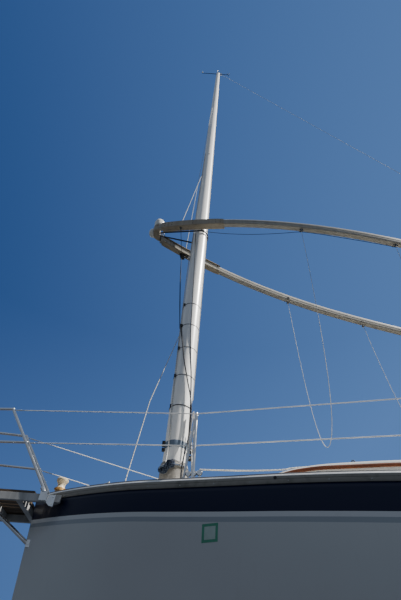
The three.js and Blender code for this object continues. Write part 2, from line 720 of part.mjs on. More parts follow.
const PLATFORM = { back: 4330, front: 5550, half: 280, bottom: 1300, top: 1358, slatTop: 1380 };
const stemAndRails = join(
  aroundHull,
  loft(HULL_STATIONS.slice(0, 6).map((u) => {
    const half = halfBeam(u) + 16;
    const x = BOW_X - u * LENGTH + 16;
    return [[x, half, 1280], [x, half, 1500], [x, -half, 1500], [x, -half, 1280]];
  })),
);
const sideBeams = [1, -1].map((side) => block(
  [PLATFORM.back, Math.min(side * 252, side * PLATFORM.half), PLATFORM.bottom],
  [PLATFORM.front - 60, Math.max(side * 252, side * PLATFORM.half), PLATFORM.top],
));
const brackets = [1, -1].map((side) => loft([PLATFORM.bottom, PLATFORM.top].map((z) => [
  [PLATFORM.back, side * 150, z],
  [PLATFORM.back, side * 262, z],
  [PLATFORM.back + 150, side * 262, z],
])));
const crossBeams = [4650, 4930, 5210, PLATFORM.front - 80].map((x) => (
  block([x, -260, PLATFORM.bottom], [x + 45, 260, PLATFORM.top])
));
addPiece('bow_platform', cut(join(...sideBeams, ...crossBeams, ...brackets), stemAndRails), materials.white);

const SLATS = 8;
const slatPitch = (2 * PLATFORM.half) / SLATS;
const slats = Array.from({ length: SLATS }, (_, k) => {
  const y = -PLATFORM.half + slatPitch * (k + 0.5);
  const start = Math.abs(y) < 80 ? 4640 : 4560;
  return block([start, y - 27, PLATFORM.top + SEAT_GAP], [PLATFORM.front, y + 27, PLATFORM.slatTop]);
});
const battens = [4690, 5100, 5490].map((x) => (
  block([x, -PLATFORM.half + 8, PLATFORM.top + SEAT_GAP], [x + 50, PLATFORM.half - 8, PLATFORM.slatTop - 6])
));
addPiece('platform_slats', cut(join(...slats, ...battens), stemAndRails), materials.teak);

addPiece('platform_strut', cut(
  join(
    bar([4540, 0, 1040], [4952, 0, 1302], 16, 10),
    bar([4560, -35, 1058], [4560, 35, 1058], 26, 8),
    block([4935, -30, 1282], [4972, 30, PLATFORM.bottom - SEAT_GAP]),
  ),
  aroundHull,
  block([4600, -300, PLATFORM.bottom - SEAT_GAP], [5600, 300, 1500]),
), materials.steel);

const PULPIT = { tube: 13, top: 2130, middle: 1795 };
const railBase = PLATFORM.slatTop + SEAT_GAP;
const pulpitLeg = (radius) => bar([4470, 292, 1372], [5040, 262, PULPIT.top], radius, 6);
const pulpitSide = join(
  pulpitLeg(PULPIT.tube),
  bar([5330, 225, railBase], [5430, 215, PULPIT.top], PULPIT.tube, 6),
  bar([4786, 275, PULPIT.middle], [5386, 222, PULPIT.middle], PULPIT.tube - 2, 6),
);
const pulpitTop = bentTube([
  [5040, 262, PULPIT.top], [5430, 218, PULPIT.top], [5560, 130, PULPIT.top + 10], [5585, 0, PULPIT.top + 12],
  [5560, -130, PULPIT.top + 10], [5430, -218, PULPIT.top], [5040, -262, PULPIT.top],
], PULPIT.tube, 14, 6);
const pulpitFeet = [1, -1].map((side) => block(
  [4440, Math.min(side * 281, side * 306), PLATFORM.bottom],
  [4500, Math.max(side * 281, side * 306), 1392],
));
addPiece('bow_pulpit', cut(
  join(pulpitTop, pulpitSide, pulpitSide.mirror([0, 1, 0]), ...pulpitFeet),
  block([4300, -PLATFORM.half - SEAT_GAP, 1200], [5700, PLATFORM.half + SEAT_GAP, railBase]),
  stemAndRails,
), materials.steel);

addPiece('bow_roller', join(
  bar([5594, -34, 1352], [5594, 34, 1352], 42, 12),
  block([PLATFORM.front + SEAT_GAP, -48, 1302], [5640, -36, 1420]),
  block([PLATFORM.front + SEAT_GAP, 36, 1302], [5640, 48, 1420]),
  bar([5594, -48, 1352], [5594, 48, 1352], 9, 8),
), materials.steel);

const WINDLASS_X = 4440;
addPiece('windlass', cut(turned([
  [0, 1380], [62, 1380], [62, 1455], [50, 1470], [50, 1500], [34, 1520], [34, 1550], [52, 1575], [52, 1600],
  [30, 1612], [0, 1612],
], 16).translate([WINDLASS_X, 0, 0]), belowDeck), materials.cream);

// Guard rails: stanchions joined by their two wires

const STANCHIONS = [1345, 3150, 4950, 6650];
const STANCHION = { high: 610, inboard: 70, tube: 12, wire: 4, lowWire: 300 };
const sternPost = { x: -3500, y: 1500, top: 1700 };
const postTop = (s) => {
  const u = s / LENGTH;
  return [BOW_X - s, halfBeam(u) - STANCHION.inboard, deckTop(u, halfBeam(u)) + STANCHION.high];
};
const guardRail = (() => {
  const tops = STANCHIONS.map(postTop);
  const posts = tops.map(([x, y, z]) => bar([x, y, z - 900], [x, y, z], STANCHION.tube, 6));
  const bases = tops.map(([x, y, z]) => bar([x, y, z - 700], [x, y, z - STANCHION.high + 22], 30, 8));
  const brace = bar([tops[0][0] + 5, tops[0][1], tops[0][2] - 8], [3330, 735, 1240], 10, 6);
  const upper = [[5031, 262.5, PULPIT.top - 12], ...tops.map(([x, y, z]) => [x, y, z - 12])];
  const lower = [[4784, 275.5, PULPIT.middle - 5], ...tops.map(([x, y, z]) => [x, y, z - STANCHION.lowWire])];
  upper.push([sternPost.x + 16, sternPost.y, sternPost.top - 12]);
  lower.push([sternPost.x + 16, sternPost.y, sternPost.top - STANCHION.lowWire]);
  const wires = [upper, lower].flatMap((line) => (
    line.slice(1).map((point, k) => bar(line[k], point, STANCHION.wire, 5))
  ));
  return cut(join(...posts, ...bases, brace, ...wires), belowDeck, pulpitLeg(PULPIT.tube + 1));
})();
addPiece('guard_rail_port', guardRail, materials.steel);
addPiece('guard_rail_starboard', guardRail.mirror([0, 1, 0]), materials.steel);

const SIDE_POSTS = [[sternPost.x, sternPost.y], [-4440, 1300], [-4500, 480]];
const sternRound = (z) => bentTube([
  [sternPost.x, sternPost.y, z], [-4250, 1390, z], [-4440, 1300, z], [-4510, 1100, z], [-4500, 480, z],
  [-4500, -480, z], [-4510, -1100, z], [-4440, -1300, z], [-4250, -1390, z], [sternPost.x, -sternPost.y, z],
], 12.5, 20, 6);
addPiece('stern_rail', cut(
  join(
    sternRound(sternPost.top),
    sternRound(sternPost.top - STANCHION.lowWire),
    ...[1, -1].flatMap((side) => SIDE_POSTS.map(([x, y]) => (
      bar([x, side * y, 900], [x, side * y, sternPost.top], 12.5, 6)
    ))),
  ),
  belowDeck,
), materials.steel);

addPiece('sheet_track', cut(
  loft([-900, -450, 0, 450, 900].map((y) => {
    const x = -4400 + 30 * (y / 900) ** 2;
    return [[x - 16, y, 1000], [x + 16, y, 1000], [x + 16, y, 1150], [x - 16, y, 1150]];
  })),
  belowDeck,
), materials.alloy);

[['port', 1], ['starboard', -1]].forEach(([name, side]) => {
  addPiece(`winch_${name}`, cut(turned([
    [0, 1500], [72, 1500], [72, 1690], [55, 1705], [42, 1745], [50, 1785], [58, 1795], [58, 1812], [0, 1818],
  ], 16).translate([-1230, side * 620, 0]), belowRoof), materials.steel);
});

// Mast, deck collar and masthead

addPiece('mast', turned(mastProfile(), MAST_SIDES), materials.spar, rig);

const toRig = rig.matrixWorld.clone().invert();
const collarInner = MAST_PROFILE[1][1] / Math.cos(Math.PI / MAST_SIDES) + 0.4;
const BOOT_PROFILE = [
  // radius, height above the mast's foot at the deck
  [collarInner, -200],
  [190, -200],
  [182, -20],
  [140, 60],
  [132, 320],
  [146, 330],
  [146, 390],
  [collarInner, 390],
];
addPiece('mast_boot', cut(
  ring(BOOT_PROFILE, MAST_SIDES),
  belowDeck.transform(toRig.elements.slice()),
), materials.boot, rig);

const HEAD_Z = MAST_PROFILE[MAST_PROFILE.length - 1][0] - MAST_DECK_Z;
addPiece('masthead', join(
  turned([[0, HEAD_Z + 0.4], [64, HEAD_Z + 0.4], [64, HEAD_Z + 26], [0, HEAD_Z + 32]], 16),
  block([-400, -9, HEAD_Z + 18], [590, 9, HEAD_Z + 30]),
  bar([575, 0, HEAD_Z + 20], [575, 0, HEAD_Z + 170], 9, 8),
  bar([-390, 0, HEAD_Z + 20], [-390, 0, HEAD_Z + 110], 9, 8),
  bar([30, 0, HEAD_Z + 20], [30, 0, HEAD_Z + 620], 5, 6),
), materials.alloy, rig);

// Wishbone boom: two bowed arms between a nose and a tail casting, slung from the mast

const boomHalf = (t) => {
  const span = t < BOOM_WIDEST ? BOOM_WIDEST : BOOM_RUN - BOOM_WIDEST;
  const end = t < BOOM_WIDEST ? 95 : 60;
  return end + (BOOM_HALF - end) * (1 - Math.abs((t - BOOM_WIDEST) / span) ** 2.2);
};
const boomPoint = (t) => [NOSE_X - t, boomHalf(t), NOSE_Z - t * BOOM_SLOPE];
const ARM_STATIONS = [
  60, 180, 330, 520, 760, 1050, 1400, 1850, 2400, 3000, 3600, 4250, 4950, 5650, 6300, 6850, 7300, 7650, 7900,
];
const ARM_SECTION = [
  // shares of the arm's width and depth
  [0.5, -0.28], [0.5, 0.28], [0.26, 0.5], [-0.26, 0.5],
  [-0.5, 0.28], [-0.5, -0.28], [-0.26, -0.5], [0.26, -0.5],
];
const armRing = (t, grow = 0) => {
  const [x, y, z] = boomPoint(t);
  const step = 1;
  const way = new THREE.Vector2(-2 * step, boomHalf(t + step) - boomHalf(t - step)).normalize();
  const [wide, deep] = [ARM_WIDTH + 2 * grow, ARM_DEPTH + 2 * grow];
  return ARM_SECTION.map(([out, up]) => [x + way.y * out * wide, y - way.x * out * wide, z + up * deep]);
};
const arm = loft(ARM_STATIONS.map((t) => armRing(t)));
addPiece('wishbone_arm_port', arm, materials.spar);
addPiece('wishbone_arm_starboard', arm.mirror([0, 1, 0]), materials.spar);

// Each casting runs along the boom from its rounded end, start, for its length
const NOSE_CASTING = { start: -60, length: 119, half: 128, roundness: 0.45 };
const TAIL_CASTING = { start: BOOM_RUN + 30, length: -129, half: 104, roundness: 0.4 };
const CASTING_DEPTH = 150;
const CASTING_SECTION = [
  [1, -0.3], [1, 0.3], [0.7, 0.5], [-0.7, 0.5], [-1, 0.3], [-1, -0.3], [-0.7, -0.5], [0.7, -0.5],
];
const casting = ({ start, length, half, roundness }, grow = 0) => loft([0, 0.3, 0.7, 1].map((share) => {
  const wide = (half + grow) * (1 - roundness * (1 - share) ** 2);
  const t = start - grow * Math.sign(length) + (length + 2 * grow * Math.sign(length)) * share;
  const z = NOSE_Z - t * BOOM_SLOPE;
  return CASTING_SECTION.map(([side, up]) => [NOSE_X - t, side * wide, z + up * (CASTING_DEPTH + grow)]);
}));
// The castings are hollowed for the arms' ends
const armSocket = loft([
  ARM_STATIONS[0] - SEAT_GAP,
  ...ARM_STATIONS.slice(1, -1),
  ARM_STATIONS[ARM_STATIONS.length - 1] + SEAT_GAP,
].map((t) => armRing(t, SEAT_GAP)));
const armSockets = join(armSocket, armSocket.mirror([0, 1, 0]));
addPiece('wishbone_nose', cut(casting(NOSE_CASTING), armSockets), materials.spar);
addPiece('wishbone_tail', cut(casting(TAIL_CASTING), armSockets), materials.spar);

// Choker: the line from the nose round the mast that holds the boom forward
const CHOKER = { z: 4330, mastRadius: 114.2, thick: 24, half: 13 };
const chokerInner = (CHOKER.mastRadius + 0.4) / Math.cos(Math.PI / MAST_SIDES);
const chokerTurn = 180 / MAST_SIDES; // its flats face the mast's corners
const chokerRing = inBoat(ring([
  [chokerInner, CHOKER.z - CHOKER.half],
  [chokerInner + CHOKER.thick, CHOKER.z - CHOKER.half],
  [chokerInner + CHOKER.thick, CHOKER.z + CHOKER.half],
  [chokerInner, CHOKER.z + CHOKER.half],
], MAST_SIDES).rotate([0, 0, chokerTurn]));
const chokerRuns = [1, -1].map((side) => bar([3392, side * 126, 5738], [4060, side * 30, 5752], 9, 8));
addPiece('choker', cut(join(chokerRing, ...chokerRuns), casting(NOSE_CASTING, SEAT_GAP), mastBore), materials.rope);

export default yacht;
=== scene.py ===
"""A cat-rigged sailing yacht with a wishbone boom, afloat at her waterline.

Metres. +X is forward, +Y is port and +Z is up, from the waterline amidships. The letter s
is a distance aft of the stem head, so x = BOW_X - s.
"""

from contextlib import contextmanager
from math import atan2, cos, cosh, pi, radians, sin, sqrt

import bmesh
import bpy
from mathutils import Matrix, Vector


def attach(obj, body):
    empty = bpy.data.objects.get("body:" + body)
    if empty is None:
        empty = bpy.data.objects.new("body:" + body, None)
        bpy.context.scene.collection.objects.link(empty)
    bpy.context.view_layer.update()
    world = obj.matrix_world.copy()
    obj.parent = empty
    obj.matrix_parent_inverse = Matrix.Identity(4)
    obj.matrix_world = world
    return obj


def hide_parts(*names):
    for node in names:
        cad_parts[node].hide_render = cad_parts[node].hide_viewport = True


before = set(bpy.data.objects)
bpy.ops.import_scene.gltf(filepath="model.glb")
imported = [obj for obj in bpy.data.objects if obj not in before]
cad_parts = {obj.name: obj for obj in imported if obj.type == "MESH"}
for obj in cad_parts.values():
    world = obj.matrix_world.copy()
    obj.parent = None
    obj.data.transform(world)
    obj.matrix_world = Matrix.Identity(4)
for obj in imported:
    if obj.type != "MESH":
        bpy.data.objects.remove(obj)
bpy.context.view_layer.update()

SIDES = (("port", 1), ("starboard", -1))
CIRCLE = 2 * pi
UP = Vector((0, 0, 1))

# Hull lines
LENGTH = 9.2
BOW_X = LENGTH / 2
HALF_BEAM = 1.805
WIDEST_S = 5.3
TRANSOM_NARROWING = 0.43
SHEER_LOW = 1.05
SHEER_LOW_S = 7
SHEER_SPRING = 0.4
SHEER_AFT_RISE = 0.05
BODY_DEPTH = 0.56
BODY_DEEPEST = 0.45
STEM_HALF = 0.012
STEM_RAKE = 0.15
FOREFOOT_SWEEP = 0.55
HULL_TOP_DROP = 0.06
DECK_EDGE_DROP = 0.025
DECK_CAMBER = 0.055
SKIN_OUT = 0.006
HULL_STATIONS = (
    0, 0.006, 0.016, 0.03, 0.048, 0.07, 0.097, 0.13, 0.17, 0.215, 0.265, 0.32, 0.38, 0.45, 0.52, 0.6, 0.68,
    0.76, 0.84, 0.92, 1,
)

# Mast: its foot at the deck, and how far it leans aft
MAST_FOOT = Vector((3.436, 0, 1.41))
MAST_RAKE = 0.01374
MAST_AXIS = Vector((-sin(MAST_RAKE), 0, cos(MAST_RAKE)))
MAST_PROFILE = (
    # height above the water, radius
    (-0.2, 0.1175), (1.4, 0.1175), (6.0, 0.114), (8.5, 0.104), (10.8, 0.0925), (12.5, 0.084), (13.9, 0.077),
    (15.4, 0.066), (16.5, 0.057),
)

# Wishbone boom: t is a distance aft of its nose
BOOM = "wishbone"
NOSE_X = 4.106
NOSE_Z = 5.796
NOSE_HALF = 0.095
TAIL_HALF = 0.06
BOOM_RUN = 8.0
BOOM_SLOPE = 0.2924
BOOM_HALF = 0.775
BOOM_WIDEST = 3.6
ARM_DEPTH = 0.13
ARM_WIDTH = 0.078


def between(low, high, share):
    return low + (high - low) * share


def spread(low, high, steps, crowding=1):
    """Values from low to high, closer together at the low end as the crowding grows."""
    return [between(low, high, (k / steps) ** crowding) for k in range(steps + 1)]


def smooth_step(share):
    share = min(1.0, max(0.0, share))
    return share * share * (3 - 2 * share)


def reading(table, s, column):
    """A smooth value from a table whose first column is s."""
    k = max(0, min(len(table) - 2, sum(row[0] <= s for row in table) - 1))
    low, high = table[k], table[k + 1]

    def slope(j):
        a, b = table[max(0, j - 1)], table[min(len(table) - 1, j + 1)]
        return (b[column] - a[column]) / (b[0] - a[0])

    wide = high[0] - low[0]
    share = (s - low[0]) / wide
    rise = high[column] - low[column]
    first, last = slope(k) * wide, slope(k + 1) * wide
    bend = 3 * rise - 2 * first - last + share * (first + last - 2 * rise)
    return low[column] + share * (first + share * bend)


def rail_top(s):
    spring = SHEER_SPRING * max(0, 1 - s / SHEER_LOW_S) ** 1.6
    return SHEER_LOW + spring + SHEER_AFT_RISE * max(0, (s - SHEER_LOW_S) / (LENGTH - SHEER_LOW_S)) ** 2


def beam_lines(s):
    if s >= WIDEST_S:
        return HALF_BEAM - TRANSOM_NARROWING * ((s - WIDEST_S) / (LENGTH - WIDEST_S)) ** 2
    full_run, full_out = 1.3, 0.054
    fuller = full_out * sin(pi * s / full_run) ** 0.7 if 0 < s < full_run else 0
    return max(STEM_HALF, HALF_BEAM * (1 - (1 - s / WIDEST_S) ** 2.1) + fuller)


BEAMS = tuple((share * LENGTH, beam_lines(share * LENGTH)) for share in HULL_STATIONS)


def half_beam(s):
    return reading(BEAMS, min(LENGTH, max(0, s)), 1)


def body_bottom(s):
    share = s / LENGTH
    bow_rise, stern_rise = 0.26, 0.58
    if share < BODY_DEEPEST:
        return -BODY_DEPTH + bow_rise * ((BODY_DEEPEST - share) / BODY_DEEPEST) ** 2
    return -BODY_DEPTH + stern_rise * ((share - BODY_DEEPEST) / (1 - BODY_DEEPEST)) ** 2.2


def deck_top(s, y):
    half = half_beam(s)
    crown = DECK_CAMBER * min(1, half) * (1 - (y / half) ** 2)
    return rail_top(s) - DECK_EDGE_DROP + crown


def on_deck(x, y, up=0.0):
    return Vector((x, y, deck_top(BOW_X - x, y) + up))


def hull_point(s, z):
    """The port side of the hull at a height z, for a frame that starts s aft of the stem head."""
    share = s / LENGTH
    top = rail_top(s) - HULL_TOP_DROP
    bottom = body_bottom(s)
    up = min(1, max(0, (z - bottom) / (top - bottom)))
    full = smooth_step(share / 0.45)
    bend = (1 - (1 - up) ** (1.3 + 1.7 * full)) ** (1 / (1 + 1.2 * full))
    flare = 1 - 0.3 * (1 - full) * (1 - up)
    sweep = max(0, 1 - share / 0.2) ** 1.5
    x = BOW_X - s - sweep * (STEM_RAKE * (1 - up) + FOREFOOT_SWEEP * (1 - up) ** 10)
    y = max(half_beam(s) * bend * flare, STEM_HALF) if up > 0 else 0
    return Vector((x, y, z))


def mast_radius(z):
    for (low, wide), (high, narrow) in zip(MAST_PROFILE, MAST_PROFILE[1:]):
        if z <= high:
            return between(wide, narrow, (z - low) / (high - low))
    return MAST_PROFILE[-1][1]


def on_mast(z, degrees=0, out=0):
    """A point at height z beside the mast: 0 degrees is forward of it, 90 is to port."""
    turn = radians(degrees)
    reach = mast_radius(z) + out
    along = z - MAST_FOOT.z
    ahead = reach * cos(turn)
    return MAST_FOOT + Vector((ahead - along * MAST_RAKE, reach * sin(turn), along + ahead * MAST_RAKE))


def mast_axis(z):
    return MAST_FOOT + Vector(((MAST_FOOT.z - z) * MAST_RAKE, 0, z - MAST_FOOT.z))


def boom_half(t):
    span, end = (BOOM_WIDEST, NOSE_HALF) if t < BOOM_WIDEST else (BOOM_RUN - BOOM_WIDEST, TAIL_HALF)
    return end + (BOOM_HALF - end) * (1 - abs((t - BOOM_WIDEST) / span) ** 2.2)


def boom_point(t, side=1, out=0, up=0):
    """A point on an arm's middle line, moved out from the sail and up."""
    slope = (boom_half(t + 0.001) - boom_half(t - 0.001)) / 0.002
    outward = Vector((slope, side, 0)).normalized()
    return Vector((NOSE_X - t, side * boom_half(t), NOSE_Z - t * BOOM_SLOPE + up)) + outward * out


def below_arm(t, side, down=0.0, out=0.0):
    return boom_point(t, side, out, -ARM_DEPTH / 2 - down)


def linked(thing):
    """Puts an object in the scene."""
    bpy.context.scene.collection.objects.link(thing)
    return thing


# Camera, at the height of the water and looking up past the port bow
CAMERA_PLACE = Vector((3.29, 3.78, 0.05))
CAMERA_RISE = 47.55
CAMERA_ROLL = 4.0
camera = linked(bpy.data.objects.new("camera", bpy.data.cameras.new("camera")))
camera.data.lens = 24
camera.data.sensor_width = 36
camera.data.clip_end = 400
camera.matrix_world = (
    Matrix.Translation(CAMERA_PLACE)
    @ Matrix.Rotation(pi, 4, "Z")
    @ Matrix.Rotation(radians(90 + CAMERA_RISE), 4, "X")
    @ Matrix.Rotation(radians(CAMERA_ROLL), 4, "Z")
)
bpy.context.scene.camera = camera


# Node trees

class Value:
    """A socket that adds a Math node when it is used in an expression."""

    def __init__(self, nodes, socket):
        self.nodes = nodes
        self.socket = socket

    def maths(self, operation, *values):
        return self.nodes.add("ShaderNodeMath", {"operation": operation}, dict(enumerate(values)))[0]

    def __add__(self, other):
        return self.maths("ADD", self, other)

    __radd__ = __add__

    def __mul__(self, other):
        return self.maths("MULTIPLY", self, other)

    __rmul__ = __mul__

    def __sub__(self, other):
        return self.maths("SUBTRACT", self, other)

    def __rsub__(self, other):
        return self.maths("SUBTRACT", other, self)

    def __truediv__(self, other):
        return self.maths("DIVIDE", self, other)

    def wave(self):
        return self.maths("SINE", self)

    def size(self):
        return self.maths("ABSOLUTE", self)

    def above(self, edge, soft):
        """0 below an edge and 1 above it, over a soft width."""
        reach = {"Value": self, "From Min": edge - soft / 2, "From Max": edge + soft / 2}
        return self.nodes.add("ShaderNodeMapRange", {"clamp": True}, reach)["Result"]


class Node:
    """A node, whose outputs are read by name or number."""

    def __init__(self, nodes, node):
        self.nodes = nodes
        self.node = node

    def __getitem__(self, key):
        return Value(self.nodes, self.node.outputs[key])


class Nodes:
    """Adds nodes to one tree: settings first, then the values or links of its sockets."""

    def __init__(self, tree):
        self.tree = tree

    def add(self, kind, settings=None, values=None):
        node = self.tree.nodes.new(kind)
        for name, setting in (settings or {}).items():
            setattr(node, name, setting)
        for key, value in (values or {}).items():
            socket = node.inputs[key]
            if isinstance(value, Value):
                self.tree.links.new(value.socket, socket)
            elif isinstance(value, tuple) and socket.type == "RGBA":
                socket.default_value = (*value[:3], 1)
            else:
                socket.default_value = value
        return Node(self, node)

    def mixed(self, share, low, high):
        """One colour or another, by a share."""
        return self.add("ShaderNodeMix", {"data_type": "RGBA"}, {"Factor": share, 6: low, 7: high})[2]

    def axes(self, place):
        split = self.add("ShaderNodeSeparateXYZ", {}, {0: place})
        return split["X"], split["Y"], split["Z"]

    def vector(self, **axes):
        return self.add("ShaderNodeCombineXYZ", {}, axes)[0]

    def geometry(self, kind, settings=None, **values):
        """A geometry node's first output; a socket's name has _ in place of a space."""
        sockets = {name.replace("_", " "): value for name, value in values.items()}
        return self.add("GeometryNode" + kind, settings, sockets)[0]


class Finish(Nodes):
    """A material's shader: constants are set on its own sockets, and what varies is linked."""

    def __init__(self, name, colour, roughness, **constants):
        self.material = bpy.data.materials.new(name)
        self.material.use_nodes = True
        super().__init__(self.material.node_tree)
        self.shader = self.tree.nodes["Principled BSDF"]
        self.shader.inputs["Base Color"].default_value = (*colour, 1)
        self.shader.inputs["Roughness"].default_value = roughness
        for key, value in constants.items():
            self.shader.inputs[key.replace("_", " ")].default_value = value
        self.roughness = roughness
        self.place = self.add("ShaderNodeTexCoord")["Object"]

    def link(self, key, value):
        self.tree.links.new(value.socket, self.shader.inputs[key])

    def painted(self, share, low, high):
        """Links the colour: one or another, by a share."""
        self.link("Base Color", self.mixed(share, low, high))

    def stretched(self, scale):
        return self.add("ShaderNodeMapping", {}, {"Vector": self.place, "Scale": scale})[0]

    def noise(self, scale, detail=3.0, vector=None, rough=0.55):
        values = {"Vector": vector or self.place, "Scale": scale, "Detail": detail, "Roughness": rough}
        return self.add("ShaderNodeTexNoise", {}, values)["Fac"]

    def streaks(self, scale, detail, rough=0.55):
        """Noise drawn out along the axis with the smallest scale."""
        return self.noise(1.0, detail, self.stretched(scale), rough)

    def worn(self, spread_by):
        """Links a roughness that wanders about the finish's own."""
        self.link("Roughness", self.roughness + (self.noise(14, 5) - 0.5) * spread_by)

    def raised(self, height, distance, strength=1.0):
        bump = self.add("ShaderNodeBump", {}, {"Height": height, "Distance": distance, "Strength": strength})
        self.link("Normal", bump["Normal"])
        return self.material


# Finishes

def scaled(colour, share):
    return tuple(channel * share for channel in colour)


def gelcoat(name, colour, roughness=0.17):
    finish = Finish(name, colour, roughness, Coat_Weight=0.35, Coat_Roughness=0.06)
    shade = finish.mixed(finish.noise(0.9, 4).above(0.5, 0.5) * 0.6, colour, scaled(colour, 0.9))
    finish.painted(finish.streaks((9, 9, 0.7), 5).above(0.64, 0.2) * 0.2, shade, scaled(colour, 0.82))
    finish.worn(0.12)
    return finish.raised(finish.noise(2.2, 2), 0.004, 0.25)


def topside_gelcoat(name, colour):
    """White gelcoat that yellows in a thin scum line above the boot stripe."""
    finish = Finish(name, colour, 0.2, Coat_Weight=0.3, Coat_Roughness=0.08)
    height = finish.axes(finish.place)[2]
    streaks = finish.streaks((11, 11, 0.5), 6)
    grime = (colour[0] * 0.72, colour[1] * 0.7, colour[2] * 0.62)
    low = (1 - height.above(0.42, 0.55)) * streaks.above(0.46, 0.35)
    base = finish.mixed(finish.noise(0.7, 4).above(0.5, 0.45), colour, scaled(colour, 0.9))
    finish.painted(low * 0.55 + streaks.above(0.68, 0.12) * 0.12, base, grime)
    finish.worn(0.14)
    return finish.raised(finish.noise(1.6, 2), 0.006, 0.2)


def band_paint(name, colour, roughness=0.3):
    """Dark glossy enamel with fender rubs that show as duller, paler scuffs."""
    finish = Finish(name, colour, roughness, Coat_Weight=0.1, Specular_IOR_Level=0.3)
    rubs = finish.streaks((3, 3, 26), 8, 0.7)
    scuffs = rubs.above(0.7, 0.06) * finish.noise(1.7, 2).above(0.52, 0.1)
    finish.painted(scuffs, colour, tuple(0.55 * channel + 0.02 for channel in colour))
    finish.link("Roughness", roughness + scuffs * 0.25 + finish.noise(6, 3) * 0.08)
    return finish.raised(finish.noise(1.9, 2), 0.004, 0.2)


def bottom_paint(name, colour, weed=(0.045, 0.055, 0.03)):
    """Antifouling, worn thin in patches and weedy near the waterline."""
    finish = Finish(name, colour, 0.8)
    thin = (colour[0] * 1.9 + 0.02, colour[1] * 1.5 + 0.02, colour[2] * 1.2)
    base = finish.mixed(finish.noise(3.5, 6).above(0.58, 0.1), colour, thin)
    finish.painted(finish.axes(finish.place)[2].above(-0.02, 0.08) * 0.55, base, weed)
    return finish.raised(finish.noise(60, 4), 0.002, 0.5)


def wood(name, light, dark, roughness=0.5, along=(1.4, 26, 26)):
    """Timber with its grain along the axis that has the smallest scale."""
    finish = Finish(name, light, roughness, Coat_Weight=0.08, Coat_Roughness=0.3)
    grain = finish.streaks(along, 7, 0.62)
    pores = finish.streaks(scaled(along, 5), 3)
    tone = finish.mixed(grain.above(0.5, 0.32), light, dark)
    finish.painted(pores.above(0.62, 0.1) * 0.6, tone, scaled(dark, 0.5))
    finish.link("Roughness", roughness + grain * 0.2 - 0.08)
    return finish.raised(grain + pores * 0.5, 0.0012, 0.5)


def metal(name, colour, roughness, metallic=1.0, scratches=0.3, tarnish=None, bump=0.0004):
    finish = Finish(name, colour, roughness, Metallic=metallic)
    fine = finish.streaks((3, 90, 90), 4)
    blotches = finish.noise(7, 5)
    finish.painted(blotches.above(0.6, 0.16) * 0.5, colour, tarnish or scaled(colour, 0.7))
    finish.link("Roughness", roughness + fine * scratches * 0.4 + blotches.above(0.55, 0.2) * 0.12 - 0.04)
    return finish.raised(fine, bump, 0.3)


def spar_paint(name, colour, roughness=0.3, shade=0.86):
    """Painted alloy: faint runs down the spar, and chafed places where lines slap it."""
    finish = Finish(name, colour, roughness, Coat_Weight=0.15, Coat_Roughness=0.2)
    base = finish.mixed(finish.streaks((16, 16, 0.45), 6).above(0.52, 0.3), colour, scaled(colour, shade))
    finish.painted(finish.streaks((30, 30, 6), 5).above(0.69, 0.05) * 0.6, base, scaled(colour, 0.55))
    finish.worn(0.15)
    return finish.raised(finish.noise(18, 3), 0.0008, 0.25)


def cloth(name, colour, threads=1900):
    finish = Finish(name, colour, 0.9)
    x, y, z = finish.axes(finish.place)
    weave = (z * threads).wave() * ((x + y) * threads).wave()
    finish.painted(finish.noise(9, 5).above(0.55, 0.3), colour, scaled(colour, 0.66))
    return finish.raised(weave + finish.noise(30, 4) * 3, 0.0012, 0.35)


def braid(name, colour, fleck, pitch=0.018, strands=160):
    """Braided line: the lay repeats along it, with one coloured strand."""
    finish = Finish(name, colour, 0.85)
    along = finish.add("ShaderNodeAttribute", {"attribute_name": "along"})["Fac"]
    x, y, z = finish.axes(finish.place)
    turns = along * (CIRCLE / pitch)
    strand = (turns * 0.5 - (x - y) * strands).wave()
    base = finish.mixed(finish.noise(11, 3).above(0.5, 0.3), colour, scaled(colour, 0.75))
    finish.painted(strand.above(0.6, 0.3), base, fleck)
    return finish.raised((turns + (x + y + z) * strands).wave(), 0.0012, 0.6)


def non_slip(name, colour, pitch=0.011):
    """A moulded deck pattern: rows of small flat-topped diamonds, with painted shade darkening the grooves
    between them.
    """
    finish = Finish(name, colour, 0.6)
    x, y, _ = finish.axes(finish.place)
    turns = pi / pitch
    diamonds = (((x + y) * turns).wave() * ((x - y) * turns).wave()).size()
    base = finish.mixed(finish.noise(2.4, 6).above(0.5, 0.3), colour, scaled(colour, 0.8))
    # The grooves between the diamonds are painted darker: painted shade.
    finish.painted((1 - diamonds.above(0.3, 0.2)) * 0.5, base, scaled(colour, 0.62))
    return finish.raised(diamonds.above(0.35, 0.3), 0.0015, 0.8)


def moulded(name, colour, roughness=0.45, grain=180):
    finish = Finish(name, colour, roughness)
    bleached = tuple(channel * 1.5 + 0.01 for channel in colour)
    finish.painted(finish.noise(6, 5).above(0.55, 0.25) * 0.5, colour, bleached)
    finish.worn(0.2)
    return finish.raised(finish.noise(grain, 2), 0.0004, 0.4)


def smoked(name, colour, roughness=0.05):
    """Smoked acrylic, crazed very finely and dusty in places."""
    finish = Finish(name, colour, roughness, Coat_Weight=1.0, Coat_Roughness=0.03, IOR=1.49)
    cells = {"Vector": finish.place, "Scale": 55}
    crazing = finish.add("ShaderNodeTexVoronoi", {"feature": "DISTANCE_TO_EDGE"}, cells)["Distance"]
    finish.link("Roughness", roughness + finish.noise(9, 5) * 0.12)
    return finish.raised(crazing.above(0.02, 0.03), 0.0002, 0.15)


def enamel(name, colour, roughness=0.4, rust=None):
    finish = Finish(name, colour, roughness, Coat_Weight=0.1)
    chips = finish.noise(24, 8, rough=0.7)
    finish.painted(chips.above(0.66, 0.06), colour, rust or scaled(colour, 0.5))
    finish.worn(0.2)
    return finish.raised(chips, 0.0008, 0.3)


